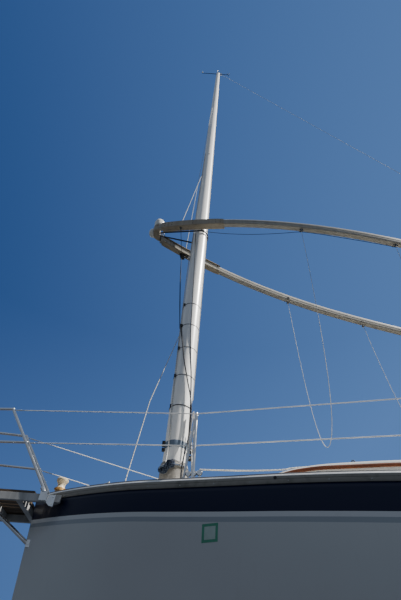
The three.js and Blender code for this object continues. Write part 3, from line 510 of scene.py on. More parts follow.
WHITE = topside_gelcoat("topside_gelcoat", (0.56, 0.575, 0.575))
PALE = gelcoat("pale_strip", (0.63, 0.645, 0.65))
GREY = gelcoat("grey_stripe", (0.335, 0.375, 0.41))
NAVY = band_paint("navy_band", (0.0015, 0.006, 0.036))
BOOT_STRIPE = band_paint("navy_boot_stripe", (0.006, 0.011, 0.04), 0.2)
BOTTOM = bottom_paint("blue_bottom_paint", (0.018, 0.055, 0.14))
CREAM = gelcoat("cream_gelcoat", (0.72, 0.68, 0.58), 0.28)
TRUNK = gelcoat("trunk_gelcoat", (0.76, 0.76, 0.74), 0.2)
GRIP = non_slip("deck_non_slip", (0.58, 0.54, 0.44))
TEAK = wood("teak", (0.3, 0.15, 0.065), (0.155, 0.068, 0.028))
DARK_TEAK = wood("weathered_teak", (0.125, 0.085, 0.052), (0.05, 0.034, 0.022), 0.7)
RED_TEAK = wood("varnished_teak", (0.2, 0.062, 0.022), (0.095, 0.026, 0.01), 0.32, (0.9, 22, 22))
BOARD_TEAK = wood("washboard_teak", (0.22, 0.085, 0.032), (0.115, 0.04, 0.015), 0.35, (22, 1.2, 26))
# Toe rail: the face is darkened as painted shade, with real tarnish blotches; the bright upper bevel is a
# painted highlight; the dark top lip is painted shade.
RAIL = metal("weathered_rail_face", (0.27, 0.255, 0.225), 0.5, 0.55, 0.5, (0.1, 0.092, 0.08), 0.0008)
RAIL_EDGE = metal("bright_rail_edge", (0.74, 0.745, 0.75), 0.35, 0.6, 0.4, (0.6, 0.6, 0.59), 0.0005)
RAIL_TOP_SHADE = metal("dark_rail_top", (0.1, 0.1, 0.105), 0.5, 0.6, 0.5, (0.05, 0.05, 0.05), 0.0008)
ALLOY = metal("cast_alloy", (0.6, 0.61, 0.62), 0.38, 0.9, 0.4)
STEEL = metal("polished_steel", (0.72, 0.73, 0.74), 0.15, 1.0, 0.25, (0.52, 0.47, 0.4))
BRONZE = metal("bronze", (0.42, 0.27, 0.12), 0.34, 0.95, 0.3, (0.16, 0.26, 0.2), 0.001)
# The bow platform's frame is white; this grey stands in for it in shade: painted shade.
BEAM = spar_paint("grey_beam_paint", (0.42, 0.42, 0.415), 0.4, 0.72)
SPAR = spar_paint("white_spar_paint", (0.92, 0.92, 0.905))
ARM = spar_paint("boom_arm_paint", (0.36, 0.342, 0.295), 0.42, 0.8)
CASTING = spar_paint("boom_casting_paint", (0.335, 0.285, 0.205), 0.5, 0.75)
CAP = spar_paint("boom_cap_paint", (0.78, 0.77, 0.72), 0.35)
CANVAS = cloth("boot_canvas", (0.31, 0.295, 0.27))
BAND_TAPE = moulded("grey_blue_band", (0.12, 0.17, 0.24), 0.5)
BLACK = moulded("black_fitting", (0.012, 0.012, 0.014))
WHITE_PLASTIC = moulded("white_fitting", (0.66, 0.67, 0.68), 0.3)
ACRYLIC = smoked("smoked_acrylic", (0.01, 0.013, 0.016))
DRUM = enamel("cream_enamel", (0.62, 0.53, 0.37), 0.35, (0.2, 0.1, 0.045))
ENGINE_PAINT = enamel("grey_engine_enamel", (0.28, 0.33, 0.36))
STICKER = moulded("green_sticker", (0.07, 0.3, 0.19), 0.35, 60)
STICKER_FACE = moulded("pale_sticker_face", (0.42, 0.52, 0.47), 0.35, 60)
WHITE_LINE = braid("white_braid", (0.66, 0.66, 0.63), (0.42, 0.44, 0.47))
BLUE_LINE = braid("blue_grey_braid", (0.016, 0.027, 0.062), (0.12, 0.17, 0.25))
DARK_LINE = braid("dark_braid", (0.016, 0.019, 0.028), (0.05, 0.055, 0.065))
WIRE = moulded("white_coated_wire", (0.64, 0.66, 0.69), 0.4, 600)
WHEEL_GRIP = moulded("wheel_grip", (0.03, 0.03, 0.032), 0.6, 90)


# Shapes

SHORT_EDGE = 2e-5


def mm(*rows):
    """Rows of numbers in metres, from millimetres."""
    return [tuple(value / 1000 for value in row) for row in rows]


def mirrored(points, side=-1):
    """The same points to starboard, or on the port side as they are when side is 1."""
    return [Vector((x, side * y, z)) for x, y, z in points]


def both_sides(points):
    return [mirrored(points, 1), mirrored(points)]


def hoop(points, steps):
    """A smooth line from port to starboard, by points that end in the middle."""
    return curve_through([*points, *mirrored(reversed(points[:-1]))], steps)


def sides_of(axis):
    """Two directions square to an axis and to each other."""
    axis = Vector(axis).normalized()
    helper = UP if abs(axis.z) < 0.9 else Vector((1, 0, 0))
    first = helper.cross(axis).normalized()
    return first, axis.cross(first)


def circle(centre, first, second, count):
    """Points round a centre, along two directions as long as the circle's radii."""
    turns = [CIRCLE * k / count for k in range(count)]
    return [centre + first * cos(turn) + second * sin(turn) for turn in turns]


def curve_through(places, steps=8):
    """A smooth line through places, with a number of steps between each two."""
    places = [Vector(place) for place in places]
    ends = [2 * places[0] - places[1], *places, 2 * places[-1] - places[-2]]
    line = []
    for a, b, c, d in zip(ends, ends[1:], ends[2:], ends[3:]):
        for share in (step / steps for step in range(steps)):
            once, twice, thrice = c - a, 2 * a - 5 * b + 4 * c - d, 3 * b - a - 3 * c + d
            line.append(0.5 * (2 * b + once * share + twice * share ** 2 + thrice * share ** 3))
    return [*line, places[-1]]


class Shape:
    """Points and faces of one piece, gathered part by part; a mark is a face's material."""

    def __init__(self):
        self.points = []
        self.faces = []
        self.marks = []

    def add(self, points, faces, mark=0):
        first = len(self.points)
        self.points += [Vector(point) for point in points]
        self.faces += [[first + k for k in face] for face in faces]
        self.marks += [mark] * len(faces)
        return self

    def loft(self, rings, mark=0, filled=True):
        """A skin over closed rings of points, with its two ends filled."""
        count = len(rings[0])
        faces = []
        for first in range(0, (len(rings) - 1) * count, count):
            for k in range(count):
                a, b = first + k, first + (k + 1) % count
                faces.append((a, b, b + count, a + count))
        if filled:
            last = (len(rings) - 1) * count
            faces.append(tuple(reversed(range(count))))
            faces.append(tuple(range(last, last + count)))
        return self.add([point for ring in rings for point in ring], faces, mark)

    def box(self, low, high, mark=0):
        (a, b, c), (d, e, f) = low, high
        return self.loft([[(x, b, c), (x, e, c), (x, e, f), (x, b, f)] for x in (a, d)], mark)

    def block(self, middle, reach, mark=0):
        """A box by its middle and how far it reaches each way."""
        middle, reach = Vector(middle), Vector(reach)
        return self.box(middle - reach, middle + reach, mark)

    def lathe(self, profile, centre, axis=(0, 0, 1), count=32, mark=0):
        """Turns (radius, height) points about an axis; an end on the axis is closed."""
        axis = Vector(axis).normalized()
        right, up = sides_of(axis)
        rings = []
        for radius, height in profile:
            reach = max(radius, 1e-5)
            rings.append(circle(Vector(centre) + axis * height, right * reach, up * reach, count))
        return self.loft(rings, mark)

    def turned(self, profile, centre, axis=(0, 0, 1), count=32, mark=0):
        """A lathed solid whose ends are flat."""
        ends = [(0, profile[0][1]), *profile, (0, profile[-1][1])]
        return self.lathe(ends, centre, axis, count, mark)

    def ring(self, centre, axis, radius, thick, count=48, around=10, mark=0):
        """A torus."""
        right, up = sides_of(axis)
        axis = Vector(axis).normalized()
        rings = []
        for out in circle(Vector(), right, up, count):
            rings.append(circle(Vector(centre) + out * radius, out * thick, axis * thick, around))
        return self.loft([*rings, rings[0]], mark, filled=False)

    def rod(self, start, end, radius, count=16, mark=0, end_radius=None):
        start, end = Vector(start), Vector(end)
        tip = radius if end_radius is None else end_radius
        return self.turned([(radius, 0), (tip, (end - start).length)], start, end - start, count, mark)

    def ball(self, centre, radius, count=16, mark=0, flat=1.0, axis=(0, 0, 1)):
        turns = [pi * k / 8 for k in range(9)]
        profile = [(radius * sin(turn), -radius * flat * cos(turn)) for turn in turns]
        return self.lathe(profile, centre, axis, count, mark)

    def plate(self, outline, thick):
        """A flat plate: an outline of points, thickened by a vector."""
        return self.loft([[Vector(p) for p in outline], [Vector(p) + Vector(thick) for p in outline]])

    def both(self):
        """Adds the same on the starboard side."""
        count = len(self.points)
        self.points += mirrored(self.points)
        self.faces += [[count + k for k in face] for face in self.faces]
        self.marks *= 2
        return self

    def pair(self, name, *given, replaces="", **options):
        """A piece on each side, by the port one; {} stands for the side in a name."""
        port = self.points
        for side_name, side in SIDES:
            self.points = mirrored(port, side)
            self.piece(name.format(side_name), *given, replaces=replaces.format(side_name), **options)

    def piece(self, name, slot, *finishes, **options):
        """The shape as a piece; its first finish has mark 0. The options are those of finished."""
        mesh = bpy.data.meshes.new(name)
        mesh.from_pydata(self.points, [], self.faces)
        for finish in finishes:
            mesh.materials.append(finish)
        mesh.polygons.foreach_set("material_index", self.marks)
        return finished(name, mesh, slot, **options)


@contextmanager
def edited(mesh):
    """The editable form of a mesh, which is written back at the end."""
    work = bmesh.new()
    work.from_mesh(mesh)
    yield work
    work.to_mesh(mesh)
    work.free()


def finished(name, mesh, slot, body="boat", bevel=0.0, angle=40, segments=2, replaces="", turn=True):
    """Merges and turns a mesh outwards, rounds its edges and puts it on its body."""
    with edited(mesh) as work:
        bmesh.ops.remove_doubles(work, verts=work.verts, dist=SHORT_EDGE)
        bmesh.ops.dissolve_degenerate(work, edges=work.edges, dist=1e-6)
        if turn:
            bmesh.ops.recalc_face_normals(work, faces=work.faces)
    mesh.shade_smooth()
    mesh.set_sharp_from_angle(angle=radians(angle))
    piece = linked(bpy.data.objects.new(name, mesh))
    if bevel:
        rounding = piece.modifiers.new("rounded_edges", "BEVEL")
        rounding.width = bevel
        rounding.segments = segments
        rounding.limit_method = "ANGLE"
        rounding.angle_limit = radians(angle)
        rounding.harden_normals = True
    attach(piece, body)
    if replaces:
        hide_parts(replaces)
    return piece


def refined(node, name, slot, finish, bevel, flat=1.0, **options):
    """A copy of a CAD node's mesh, merged, with its flat faces whole and its edges rounded."""
    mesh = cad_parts[node].data.copy()
    mesh.name = name
    mesh.materials.clear()
    mesh.materials.append(finish)
    with edited(mesh) as work:
        work.transform(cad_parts[node].matrix_world)
        bmesh.ops.remove_doubles(work, verts=work.verts, dist=3e-5)
        bmesh.ops.dissolve_limit(work, angle_limit=radians(flat), verts=work.verts, edges=work.edges)
    mesh.polygons.foreach_set("material_index", [0] * len(mesh.polygons))
    return finished(name, mesh, slot, bevel=bevel, angle=30, replaces=node, turn=False, **options)


def set_finish(node, finish):
    """Gives a CAD node that stays as it is a better material."""
    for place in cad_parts[node].material_slots:
        place.material = finish


# Geometry Nodes: what follows a line, sits on points or stands in a row

SOCKETS = {int: "NodeSocketInt", float: "NodeSocketFloat", tuple: "NodeSocketVector"}


def geometry_nodes(name, **sizes):
    """A tree with a geometry input, one for each size with its usual value, and one for the material."""
    tree = bpy.data.node_groups.new(name, "GeometryNodeTree")
    added = tree.interface.new_socket
    added("Geometry", in_out="INPUT", socket_type="NodeSocketGeometry")
    for label, usual in sizes.items():
        added(label, in_out="INPUT", socket_type=SOCKETS[type(usual)]).default_value = usual
    added("Material", in_out="INPUT", socket_type="NodeSocketMaterial")
    added("Geometry", in_out="OUTPUT", socket_type="NodeSocketGeometry")
    nodes = Nodes(tree)
    return nodes, nodes.add("NodeGroupInput")


def close_tree(nodes, given, geometry):
    """Ends a tree in real geometry with its material."""
    real = nodes.geometry("RealizeInstances", Geometry=geometry)
    painted = nodes.geometry("SetMaterial", Geometry=real, Material=given["Material"])
    nodes.add("NodeGroupOutput", {}, {0: painted})
    return nodes.tree


def tube_tree():
    nodes, given = geometry_nodes("tube_along_lines", Radius=0.01, Sides=10)
    line = nodes.geometry("MeshToCurve", Mesh=given["Geometry"])
    along = nodes.add("GeometryNodeSplineParameter")["Length"]
    kept = {"data_type": "FLOAT", "domain": "POINT"}
    measured = nodes.geometry("StoreNamedAttribute", kept, Geometry=line, Name="along", Value=along)
    section = nodes.geometry("CurvePrimitiveCircle", Resolution=given["Sides"], Radius=given["Radius"])
    tube = nodes.geometry("CurveToMesh", Curve=measured, Profile_Curve=section, Fill_Caps=True)
    return close_tree(nodes, given, tube)


def stud_tree():
    nodes, given = geometry_nodes("studs_on_points", Radius=0.004, Height=0.5)
    ball = nodes.geometry("MeshUVSphere", Segments=10, Rings=6, Radius=given["Radius"])
    scale = nodes.vector(X=1.0, Y=1.0, Z=given["Height"])
    studs = nodes.geometry("InstanceOnPoints", Points=given["Geometry"], Instance=ball, Scale=scale)
    return close_tree(nodes, given, studs)


def slat_tree():
    sizes = {"Count": 5, "Start": (0, 0, 0), "Pitch": (0, 0.05, 0), "Size": (1, 0.04, 0.01)}
    nodes, given = geometry_nodes("slats_in_a_row", **sizes)
    count, start, pitch = given["Count"], given["Start"], given["Pitch"]
    row = nodes.geometry("MeshLine", {"mode": "OFFSET"}, Count=count, Start_Location=start, Offset=pitch)
    slat = nodes.geometry("MeshCube", Size=given["Size"])
    return close_tree(nodes, given, nodes.geometry("InstanceOnPoints", Points=row, Instance=slat))


def spoke_tree():
    """Bars that stand out from an axis along X, evenly round it."""
    nodes, given = geometry_nodes("bars_round_an_axis", Count=6, Centre=(0, 0, 0), Reach=0.4, Radius=0.008)
    hub = nodes.geometry("MeshLine", {"mode": "OFFSET"}, Count=given["Count"], Offset=(0, 0, 0))
    place = nodes.geometry("SetPosition", Geometry=hub, Offset=given["Centre"])
    spin = nodes.vector(X=nodes.geometry("InputIndex") * CIRCLE / given["Count"])
    bar = nodes.geometry("MeshCylinder", Vertices=12, Radius=given["Radius"], Depth=given["Reach"])
    raised = nodes.geometry("Transform", Geometry=bar, Translation=nodes.vector(Z=given["Reach"] * 0.5))
    bars = nodes.geometry("InstanceOnPoints", Points=place, Instance=raised, Rotation=spin)
    return close_tree(nodes, given, bars)


TUBE = tube_tree()
STUD = stud_tree()
SLAT = slat_tree()
SPOKE = spoke_tree()


def grown(tree, name, points, edges=(), **inputs):
    """The plain mesh that a tree makes from points and edges."""
    source = bpy.data.meshes.new(name + "_source")
    source.from_pydata(points, edges, [])
    holder = linked(bpy.data.objects.new(name + "_source", source))
    modifier = holder.modifiers.new("grown", "NODES")
    modifier.node_group = tree
    sockets = {item.name: item.identifier for item in tree.interface.items_tree if item.in_out == "INPUT"}
    for label, value in inputs.items():
        modifier[sockets[label]] = value
    mesh = made_plain(holder, name)
    bpy.data.objects.remove(holder)
    return mesh


def made_plain(holder, name):
    """A mesh of what an object's modifiers make; they are removed."""
    bpy.context.view_layer.update()
    graph = bpy.context.evaluated_depsgraph_get()
    mesh = bpy.data.meshes.new_from_object(
        holder.evaluated_get(graph), preserve_all_data_layers=True, depsgraph=graph
    )
    holder.modifiers.clear()
    mesh.name = name
    return mesh


def tubes(name, lines, radius, finish, slot="line", sides=10, **options):
    """One piece of round tube, wire or line along each of several lines of points."""
    points = []
    edges = []
    for line in lines:
        first = len(points)
        points += [tuple(point) for point in line]
        edges += [(first + k, first + k + 1) for k in range(len(line) - 1)]
    mesh = grown(TUBE, name, points, edges, Radius=radius, Sides=sides, Material=finish)
    return finished(name, mesh, slot, angle=60, **options)


def studs(name, places, radius, height, finish=STEEL, body="boat"):
    mesh = grown(STUD, name, [tuple(p) for p in places], Radius=radius, Height=height, Material=finish)
    return finished(name, mesh, "stainless", body, angle=60)


def stud_pair(name, places, *sizes, **options):
    """Studs on each side, by the port ones; {} in the name stands for the side."""
    for side_name, side in SIDES:
        studs(name.format(side_name), mirrored(places, side), *sizes, **options)


def slats(name, count, start, pitch, size, finish=TEAK, bevel=0.002, **options):
    mesh = grown(SLAT, name, [(0, 0, 0)], Count=count, Start=start, Pitch=pitch, Size=size, Material=finish)
    return finished(name, mesh, "teak", bevel=bevel, angle=30, **options)


# Hull and rails

def plan_normal(s):
    """Outwards from the port deck edge, level."""
    slope = (half_beam(s + 0.01) - half_beam(s - 0.01)) / 0.02 if s > 0.06 else 1.2
    return Vector((slope, 1, 0)).normalized()


def band_depth(s):
    """How far the navy band reaches below the top of the toe rail."""
    return 0.21 + 0.03 * smooth_step(s / 2.7)


STRIPE = 0.03
BOOT_STRIPE_Z = (0.13, 0.06)
HULL_BANDS = (
    # finish, rows of faces, height of its lower edge at s
    (NAVY, 4, lambda s: rail_top(s) - band_depth(s)),
    (PALE, 1, lambda s: rail_top(s) - band_depth(s) - STRIPE),
    (GREY, 1, lambda s: rail_top(s) - band_depth(s) - 2 * STRIPE),
    (WHITE, 12, lambda s: BOOT_STRIPE_Z[0]),
    (BOOT_STRIPE, 1, lambda s: BOOT_STRIPE_Z[1]),
    (BOTTOM, 16, body_bottom),
)
HULL_FRAMES = 150


def hull_heights(s):
    """Heights of the rows of points at one frame, from the sheer to the keel line."""
    heights = [rail_top(s) - HULL_TOP_DROP]
    for finish, rows, lower in HULL_BANDS:
        high, low = heights[-1], lower(s)
        for share in spread(0, 1, rows)[1:]:
            if finish is BOTTOM:
                share = 1 - (1 - share) ** 1.9
            heights.append(between(high, low, share))
    return heights


def make_hull():
    """A skin of strips: starboard from the stern, round the stem, port, and across the transom."""
    frames = reversed(spread(0, LENGTH, HULL_FRAMES, 1.4))
    columns = [[hull_point(s, z) for z in hull_heights(s)] for s in frames]
    stem = columns.pop()
    port = list(columns)
    for turn in range(90, -91, -30):
        ahead, across = cos(radians(turn)), sin(radians(turn))
        columns.append([Vector((p.x + p.y * ahead, p.y * across, p.z)) for p in stem])
    columns += [mirrored(column) for column in reversed(port)]
    columns += [mirrored(port[0], k / 5) for k in range(-4, 6)]
    faces = [(2 * k, 2 * k + 1, 2 * k + 3, 2 * k + 2) for k in range(len(columns) - 1)]
    rows = [mark for mark, band in enumerate(HULL_BANDS) for _ in range(band[1])]
    skin = Shape()
    for row, mark in enumerate(rows):
        skin.add([point for column in columns for point in column[row:row + 2]], faces, mark)
    piece = skin.piece("hull_skin", "hull_gelcoat", *[band[0] for band in HULL_BANDS], angle=32)
    shell = piece.modifiers.new("laminate", "SOLIDIFY")
    shell.thickness = SKIN_OUT
    shell.offset = 1
    set_finish("hull", CREAM)


RAIL_SECTION = mm(
    # outboard of the hull's side, below the rail's top
    (0.6, -72), (10.5, -72), (12.8, -69), (13.5, -48), (11.8, -46.5), (11.8, -43), (13.8, -41.5),
    (14.2, -24), (12.8, -18.5), (9, -14.5), (6.2, -8.5), (5.2, -1.8), (3.4, 0), (-5.2, 0), (-6.6, -1.8),
    (-8.4, -13), (-11, -15.2), (-33.5, -16.5), (-34, -21), (0.6, -24),
)
# Faces 7 to 9 of the section, its upper outer bevel, get the painted highlight; faces 10 to 13, its top lip,
# get painted shade; the rest get the face's painted shade.
RAIL_MARKS = {7: 1, 8: 1, 9: 1, 10: 2, 11: 2, 12: 2, 13: 2}
RAIL_SCREW_GAP = 0.24
SCUPPERS = (1.9, 3.6, 5.2, 6.9)


def rail_point(s, out, down):
    normal = plan_normal(s)
    y = max(0.0004, half_beam(s) + normal.y * out)
    return Vector((BOW_X - s + normal.x * out, y, rail_top(s) + down))


def make_toe_rails():
    stations = spread(0.055, LENGTH, 140, 1.2)
    rail = Shape().loft([[rail_point(s, out, down) for out, down in RAIL_SECTION] for s in stations])
    for face in range(len(rail.marks) - 2):
        rail.marks[face] = RAIL_MARKS.get(face % len(RAIL_SECTION), 0)
    finishes = (RAIL, RAIL_EDGE, RAIL_TOP_SHADE)
    rail.pair("toe_rail_{}_extrusion", "alloy", *finishes, angle=50, replaces="toe_rail_{}")
    screws = range(int((LENGTH - 0.6) / RAIL_SCREW_GAP))
    places = [rail_point(0.3 + k * RAIL_SCREW_GAP, 0.0136, -0.058) for k in screws]
    stud_pair("toe_rail_{}_screws", places, 0.0042, 0.9)
    # The drains are shallow black discs on the rail's face, not holes: their black is painted shade for the
    # openings.
    drains = Shape()
    profile = mm((11, 0), (11, 1.8), (6, 1.8), (5.5, 0.8))
    for s in SCUPPERS:
        drains.turned(profile, rail_point(s, 0.0138, -0.034), plan_normal(s), 16)
    drains.pair("scuppers_{}", "alloy", BLACK)


STICKER_PLACE = (1.48, 0.975)
STICKER_HALF = 0.0525


def skin_point(s, z, out=0.0):
    """A point of the port hull skin and a height out from it."""
    here = hull_point(s, z)
    along = hull_point(s + 0.01, z) - here
    up = hull_point(s, z + 0.01) - here
    normal = up.cross(along).normalized()
    if normal.y < 0:
        normal.negate()
    return here + normal * (SKIN_OUT + out)


def make_sticker():
    """A blank green sticker with a pale face, on each side where a registration sticker goes."""
    s, z = STICKER_PLACE
    sticker = Shape()
    for mark, margin, height in ((0, 0.0, 0.0006), (1, 0.016, 0.0009)):
        reach = STICKER_HALF - margin
        corners = ((-reach, -reach), (reach, -reach), (reach, reach), (-reach, reach))
        sticker.loft([[skin_point(s + a, z + b, out) for a, b in corners] for out in (-0.002, height)], mark)
    sticker.pair("sticker_{}", "hull_gelcoat", STICKER, STICKER_FACE)


# Deck and cabin trunk

DECK_PANELS = (
    # first s, last s, gap to the middle or the trunk, gap to the deck edge, corner
    (0.42, 1.66, 0.23, 0.13, 0.05), (1.98, 3.02, 0.1, 0.14, 0.04), (3.14, 4.42, 0.1, 0.14, 0.04),
    (4.54, 5.95, 0.1, 0.14, 0.04), (6.3, 7.35, 0.1, 0.12, 0.04), (7.48, 8.6, 0.1, 0.12, 0.04),
)
ROOF_PANELS = (
    # first s, last s, gap to the middle
    (2.15, 2.5, 0.04), (3.2, 4.48, 0.05), (4.62, 5.3, 0.45),
)
PANEL_RAISED = 0.0022
PANEL_SUNK = 0.004
TRUNK_STATIONS = (
    # s, half width, height of the roof edge
    (1.78, 0.52, 1.345), (1.85, 0.64, 1.41), (2.0, 0.745, 1.46), (2.25, 0.805, 1.512), (2.52, 0.86, 1.532),
    (2.9, 0.93, 1.545), (3.6, 1.03, 1.56), (4.5, 1.1, 1.58), (5.4, 1.11, 1.595), (6.1, 1.08, 1.6),
)
TRUNK_SHOULDER = mm((3.5, -55), (2, -32), (0, -18), (-6, -7.5), (-17, -1))
ROOF_SHARES = (0.955, 0.9, 0.82, 0.72, 0.6, 0.48, 0.36, 0.24, 0.12)
TRUNK_FRONT = TRUNK_STATIONS[0][0]
TRUNK_AFT = TRUNK_STATIONS[-1][0]
TRUNK_CROWDING = 1.35
TRUNK_CAMBER = 0.09
TRUNK_WALL = 0.035
COAMING_HALF = 1.14
FLARE = 0.026
BASE_Z = 0.7


def trunk_half(s):
    return reading(TRUNK_STATIONS, min(TRUNK_AFT, max(TRUNK_FRONT, s)), 1)


def roof_edge(s):
    return reading(TRUNK_STATIONS, min(TRUNK_AFT, max(TRUNK_FRONT, s)), 2)


def roof_top(s, y):
    return roof_edge(s) + TRUNK_CAMBER * (1 - (y / trunk_half(s)) ** 2)


def on_roof(x, y, up=0.0):
    return Vector((x, y, roof_top(BOW_X - x, y) + up))


def trunk_side(s, z):
    """How far out the trunk's side stands at a height."""
    top = roof_edge(s) - 0.03
    return trunk_half(s) + 0.002 + FLARE * (top - z) / (top - BASE_Z)


def side_deck(s):
    """How far out the side deck begins."""
    if s < TRUNK_FRONT:
        return 0
    if s > TRUNK_AFT:
        return COAMING_HALF
    return trunk_side(s, deck_top(s, trunk_half(s)))


def add_panel(shape, first, last, inner, outer, top, corner):
    """A thin raised panel that follows the surface below it, with round corners."""
    rings = []
    for s in spread(first, last, 26):
        end = min(s - first, last - s)
        inset = corner - sqrt(max(0, corner ** 2 - (corner - end) ** 2)) if end < corner else 0
        across = spread(inner(s) + inset, outer(s) - inset, 8)
        lower = [(BOW_X - s, y, top(s, y) - PANEL_SUNK) for y in reversed(across)]
        rings.append([(BOW_X - s, y, top(s, y) + PANEL_RAISED) for y in across] + lower)
    shape.loft(rings)


def make_deck():
    set_finish("deck", CREAM)
    panels = Shape()
    for first, last, near, far, corner in DECK_PANELS:
        def inner(s):
            return side_deck(s) + near

        def outer(s):
            return max(inner(s) + 0.02, half_beam(s) - far)

        add_panel(panels, first, last, inner, outer, deck_top, corner)
    panels.pair("deck_non_slip_{}", "deck_gelcoat", GRIP)


def trunk_ring(s, inset=0.0, base=None):
    half, edge = trunk_half(s) - inset, roof_edge(s) - inset
    low = deck_top(s, half) - 0.004 if base is None else base
    squat = min(1, (edge - low) / 0.075)
    side = [(trunk_side(s, low) - inset, low)]
    side += [(half + out, edge + up * squat) for out, up in TRUNK_SHOULDER]
    side += [(half * share, edge + TRUNK_CAMBER * (1 - share ** 2)) for share in ROOF_SHARES]
    port, starboard = both_sides([(BOW_X - s, y, z) for y, z in side])
    return [*port, Vector((BOW_X - s, 0, edge + TRUNK_CAMBER)), *reversed(starboard)]


WINDOW = {"long": 0.62, "tall": 0.13, "z": 1.395, "corner": 0.045, "centres": (1.15, 0.25, -0.65)}
WINDOW_SECTION = mm(
    # away from the pane's edge, out from the trunk's side
    (-4, -12), (-4, 2), (0, 5.2), (8, 5.8), (17, 4.5), (20.5, 1.5), (20.5, -3),
)
HATCH = {"x": 1.75, "half": 0.28, "opening": 0.24, "top": 1.668}
HATCH_SECTION = mm(
    # away from the lid's edge, up from the coaming
    (0, 0), (0, 26), (-4, 31), (-20, 32), (-45, 29), (-47, 24), (-47, 4), (-47, 0),
)
PANE_LAYERS = ((0.004, 1.0), (0.023, 1.0), (0.0255, 0.96), (0.0275, 0.85), (0.0285, 0.6))
COMPANION = {"back": -1.52, "front": -0.82, "way": 0.3, "runner_top": 1.738, "runner_front": 0.03}
WASHBOARDS = {"back": -1.492, "front": -1.474, "half": 0.2994, "low": 1.1156, "high": 1.73, "count": 3}
EYEBROW_FRONT = 1.8
EYEBROW_SECTION = mm(
    # out from the trunk's side, below the roof's edge
    (-10, -60), (8, -60), (13, -58), (15.5, -53), (16.5, -45), (16, -37), (13.5, -32.5), (9, -30.5),
    (-10, -30),
)


def rounded_outline(long, tall, corner, grow=0.0, steps=8):
    """Corners of a round-cornered rectangle about the origin, anticlockwise."""
    outline = []
    for a, b, start in ((1, 1, 0), (-1, 1, 90), (-1, -1, 180), (1, -1, 270)):
        for turn in spread(radians(start), radians(start + 90), steps):
            outline.append((
                a * (long / 2 - corner) + (corner + grow) * cos(turn),
                b * (tall / 2 - corner) + (corner + grow) * sin(turn),
            ))
    return outline


def window_outline(grow=0.0, steps=8):
    return rounded_outline(WINDOW["long"], WINDOW["tall"], WINDOW["corner"], grow, steps)


def outward(outline):
    """Each corner of an outline with the direction away from its middle."""
    for k, (a, b) in enumerate(outline):
        before, after = outline[k - 1], outline[(k + 1) % len(outline)]
        yield a, b, Vector((after[1] - before[1], before[0] - after[0])).normalized()


def uncut(name, shape):
    """An object with the merged mesh of a shape."""
    mesh = bpy.data.meshes.new(name)
    mesh.from_pydata(shape.points, [], shape.faces)
    with edited(mesh) as work:
        bmesh.ops.remove_doubles(work, verts=work.verts, dist=1e-5)
        bmesh.ops.recalc_face_normals(work, faces=work.faces)
    return linked(bpy.data.objects.new(name, mesh))


def carved(name, shape, tools):
    """The mesh of a shape with the tools cut away from it."""
    whole = uncut(name, shape)
    cutters = [uncut(f"cutter_{k}", tool) for k, tool in enumerate(tools)]
    for cutter in cutters:
        step = whole.modifiers.new("opening", "BOOLEAN")
        step.operation = "DIFFERENCE"
        step.solver = "EXACT"
        step.object = cutter
    mesh = made_plain(whole, name)
    for holder in (whole, *cutters):
        bpy.data.objects.remove(holder)
    return mesh


def make_trunk():
    moulding = "cabin_trunk_moulding"
    outer = Shape().loft([trunk_ring(s) for s in spread(TRUNK_FRONT, TRUNK_AFT, 70, TRUNK_CROWDING)])
    room = spread(2.0, TRUNK_AFT - TRUNK_WALL, 50, TRUNK_CROWDING)
    tools = [Shape().loft([trunk_ring(s, TRUNK_WALL, BASE_Z) for s in room])]
    for centre in WINDOW["centres"]:
        for y in (1.35, -0.8):
            cut = [(centre + a, y, WINDOW["z"] + b) for a, b in window_outline()]
            tools.append(Shape().plate(cut, (0, -0.55, 0)))
    x, half, opening, way = HATCH["x"], HATCH["half"], HATCH["opening"], COMPANION["way"]
    for low, high in (
        ((x - opening, -opening, 1.2), (x + opening, opening, 1.9)),
        ((-1.6, -way, 1.115), (-1.38, way, 1.9)),
        ((-1.601, -way - 0.02, 1.56), (COMPANION["front"] - 0.08, way + 0.02, 1.901)),
    ):
        tools.append(Shape().box(low, high))
    mesh = carved(moulding, outer, tools)
    mesh.materials.clear()
    mesh.materials.append(TRUNK)
    finished(moulding, mesh, "trunk_gelcoat", angle=28, replaces="cabin_trunk")

    coaming = Shape()
    low, top = roof_top(BOW_X - x, half) - 0.05, HATCH["top"]
    for a, b in ((-half, -opening), (opening, half)):
        coaming.box((x + a, -half, low), (x + b, half, top))
        coaming.box((x - half, a, low), (x + half, b, top))
    coaming.piece("fore_hatch_coaming", "trunk_gelcoat", TRUNK, bevel=0.005, angle=30)
    back, front, top = COMPANION["back"] + 0.025, COMPANION["runner_front"], COMPANION["runner_top"]
    runners = Shape().box((back, 0.371, 1.6), (front, 0.399, top)).both()
    runners.piece("companion_runners", "teak", RED_TEAK, bevel=0.004, angle=30)


def on_trunk(x, z, out):
    return Vector((x, trunk_side(BOW_X - x, z) + out, z))


def make_windows():
    z = WINDOW["z"]
    screws = []
    for number, centre in enumerate(WINDOW["centres"], 1):
        rings = []
        for a, b, away in outward(window_outline()):
            place = Vector((centre + a, z + b))
            rings.append([on_trunk(*(place + away * out), high) for out, high in WINDOW_SECTION])
        trim = Shape().loft([*rings, rings[0]], filled=False)
        trim.pair(f"window_frame_{{}}_{number}", "alloy", ALLOY, angle=45)
        screws += [on_trunk(centre + a, z + b, 0.0055) for a, b in window_outline(0.012, 2)]
        for name, _ in SIDES:
            set_finish(f"window_{name}_{number}", ACRYLIC)
    stud_pair("window_screws_{}", screws, 0.0035, 0.6)


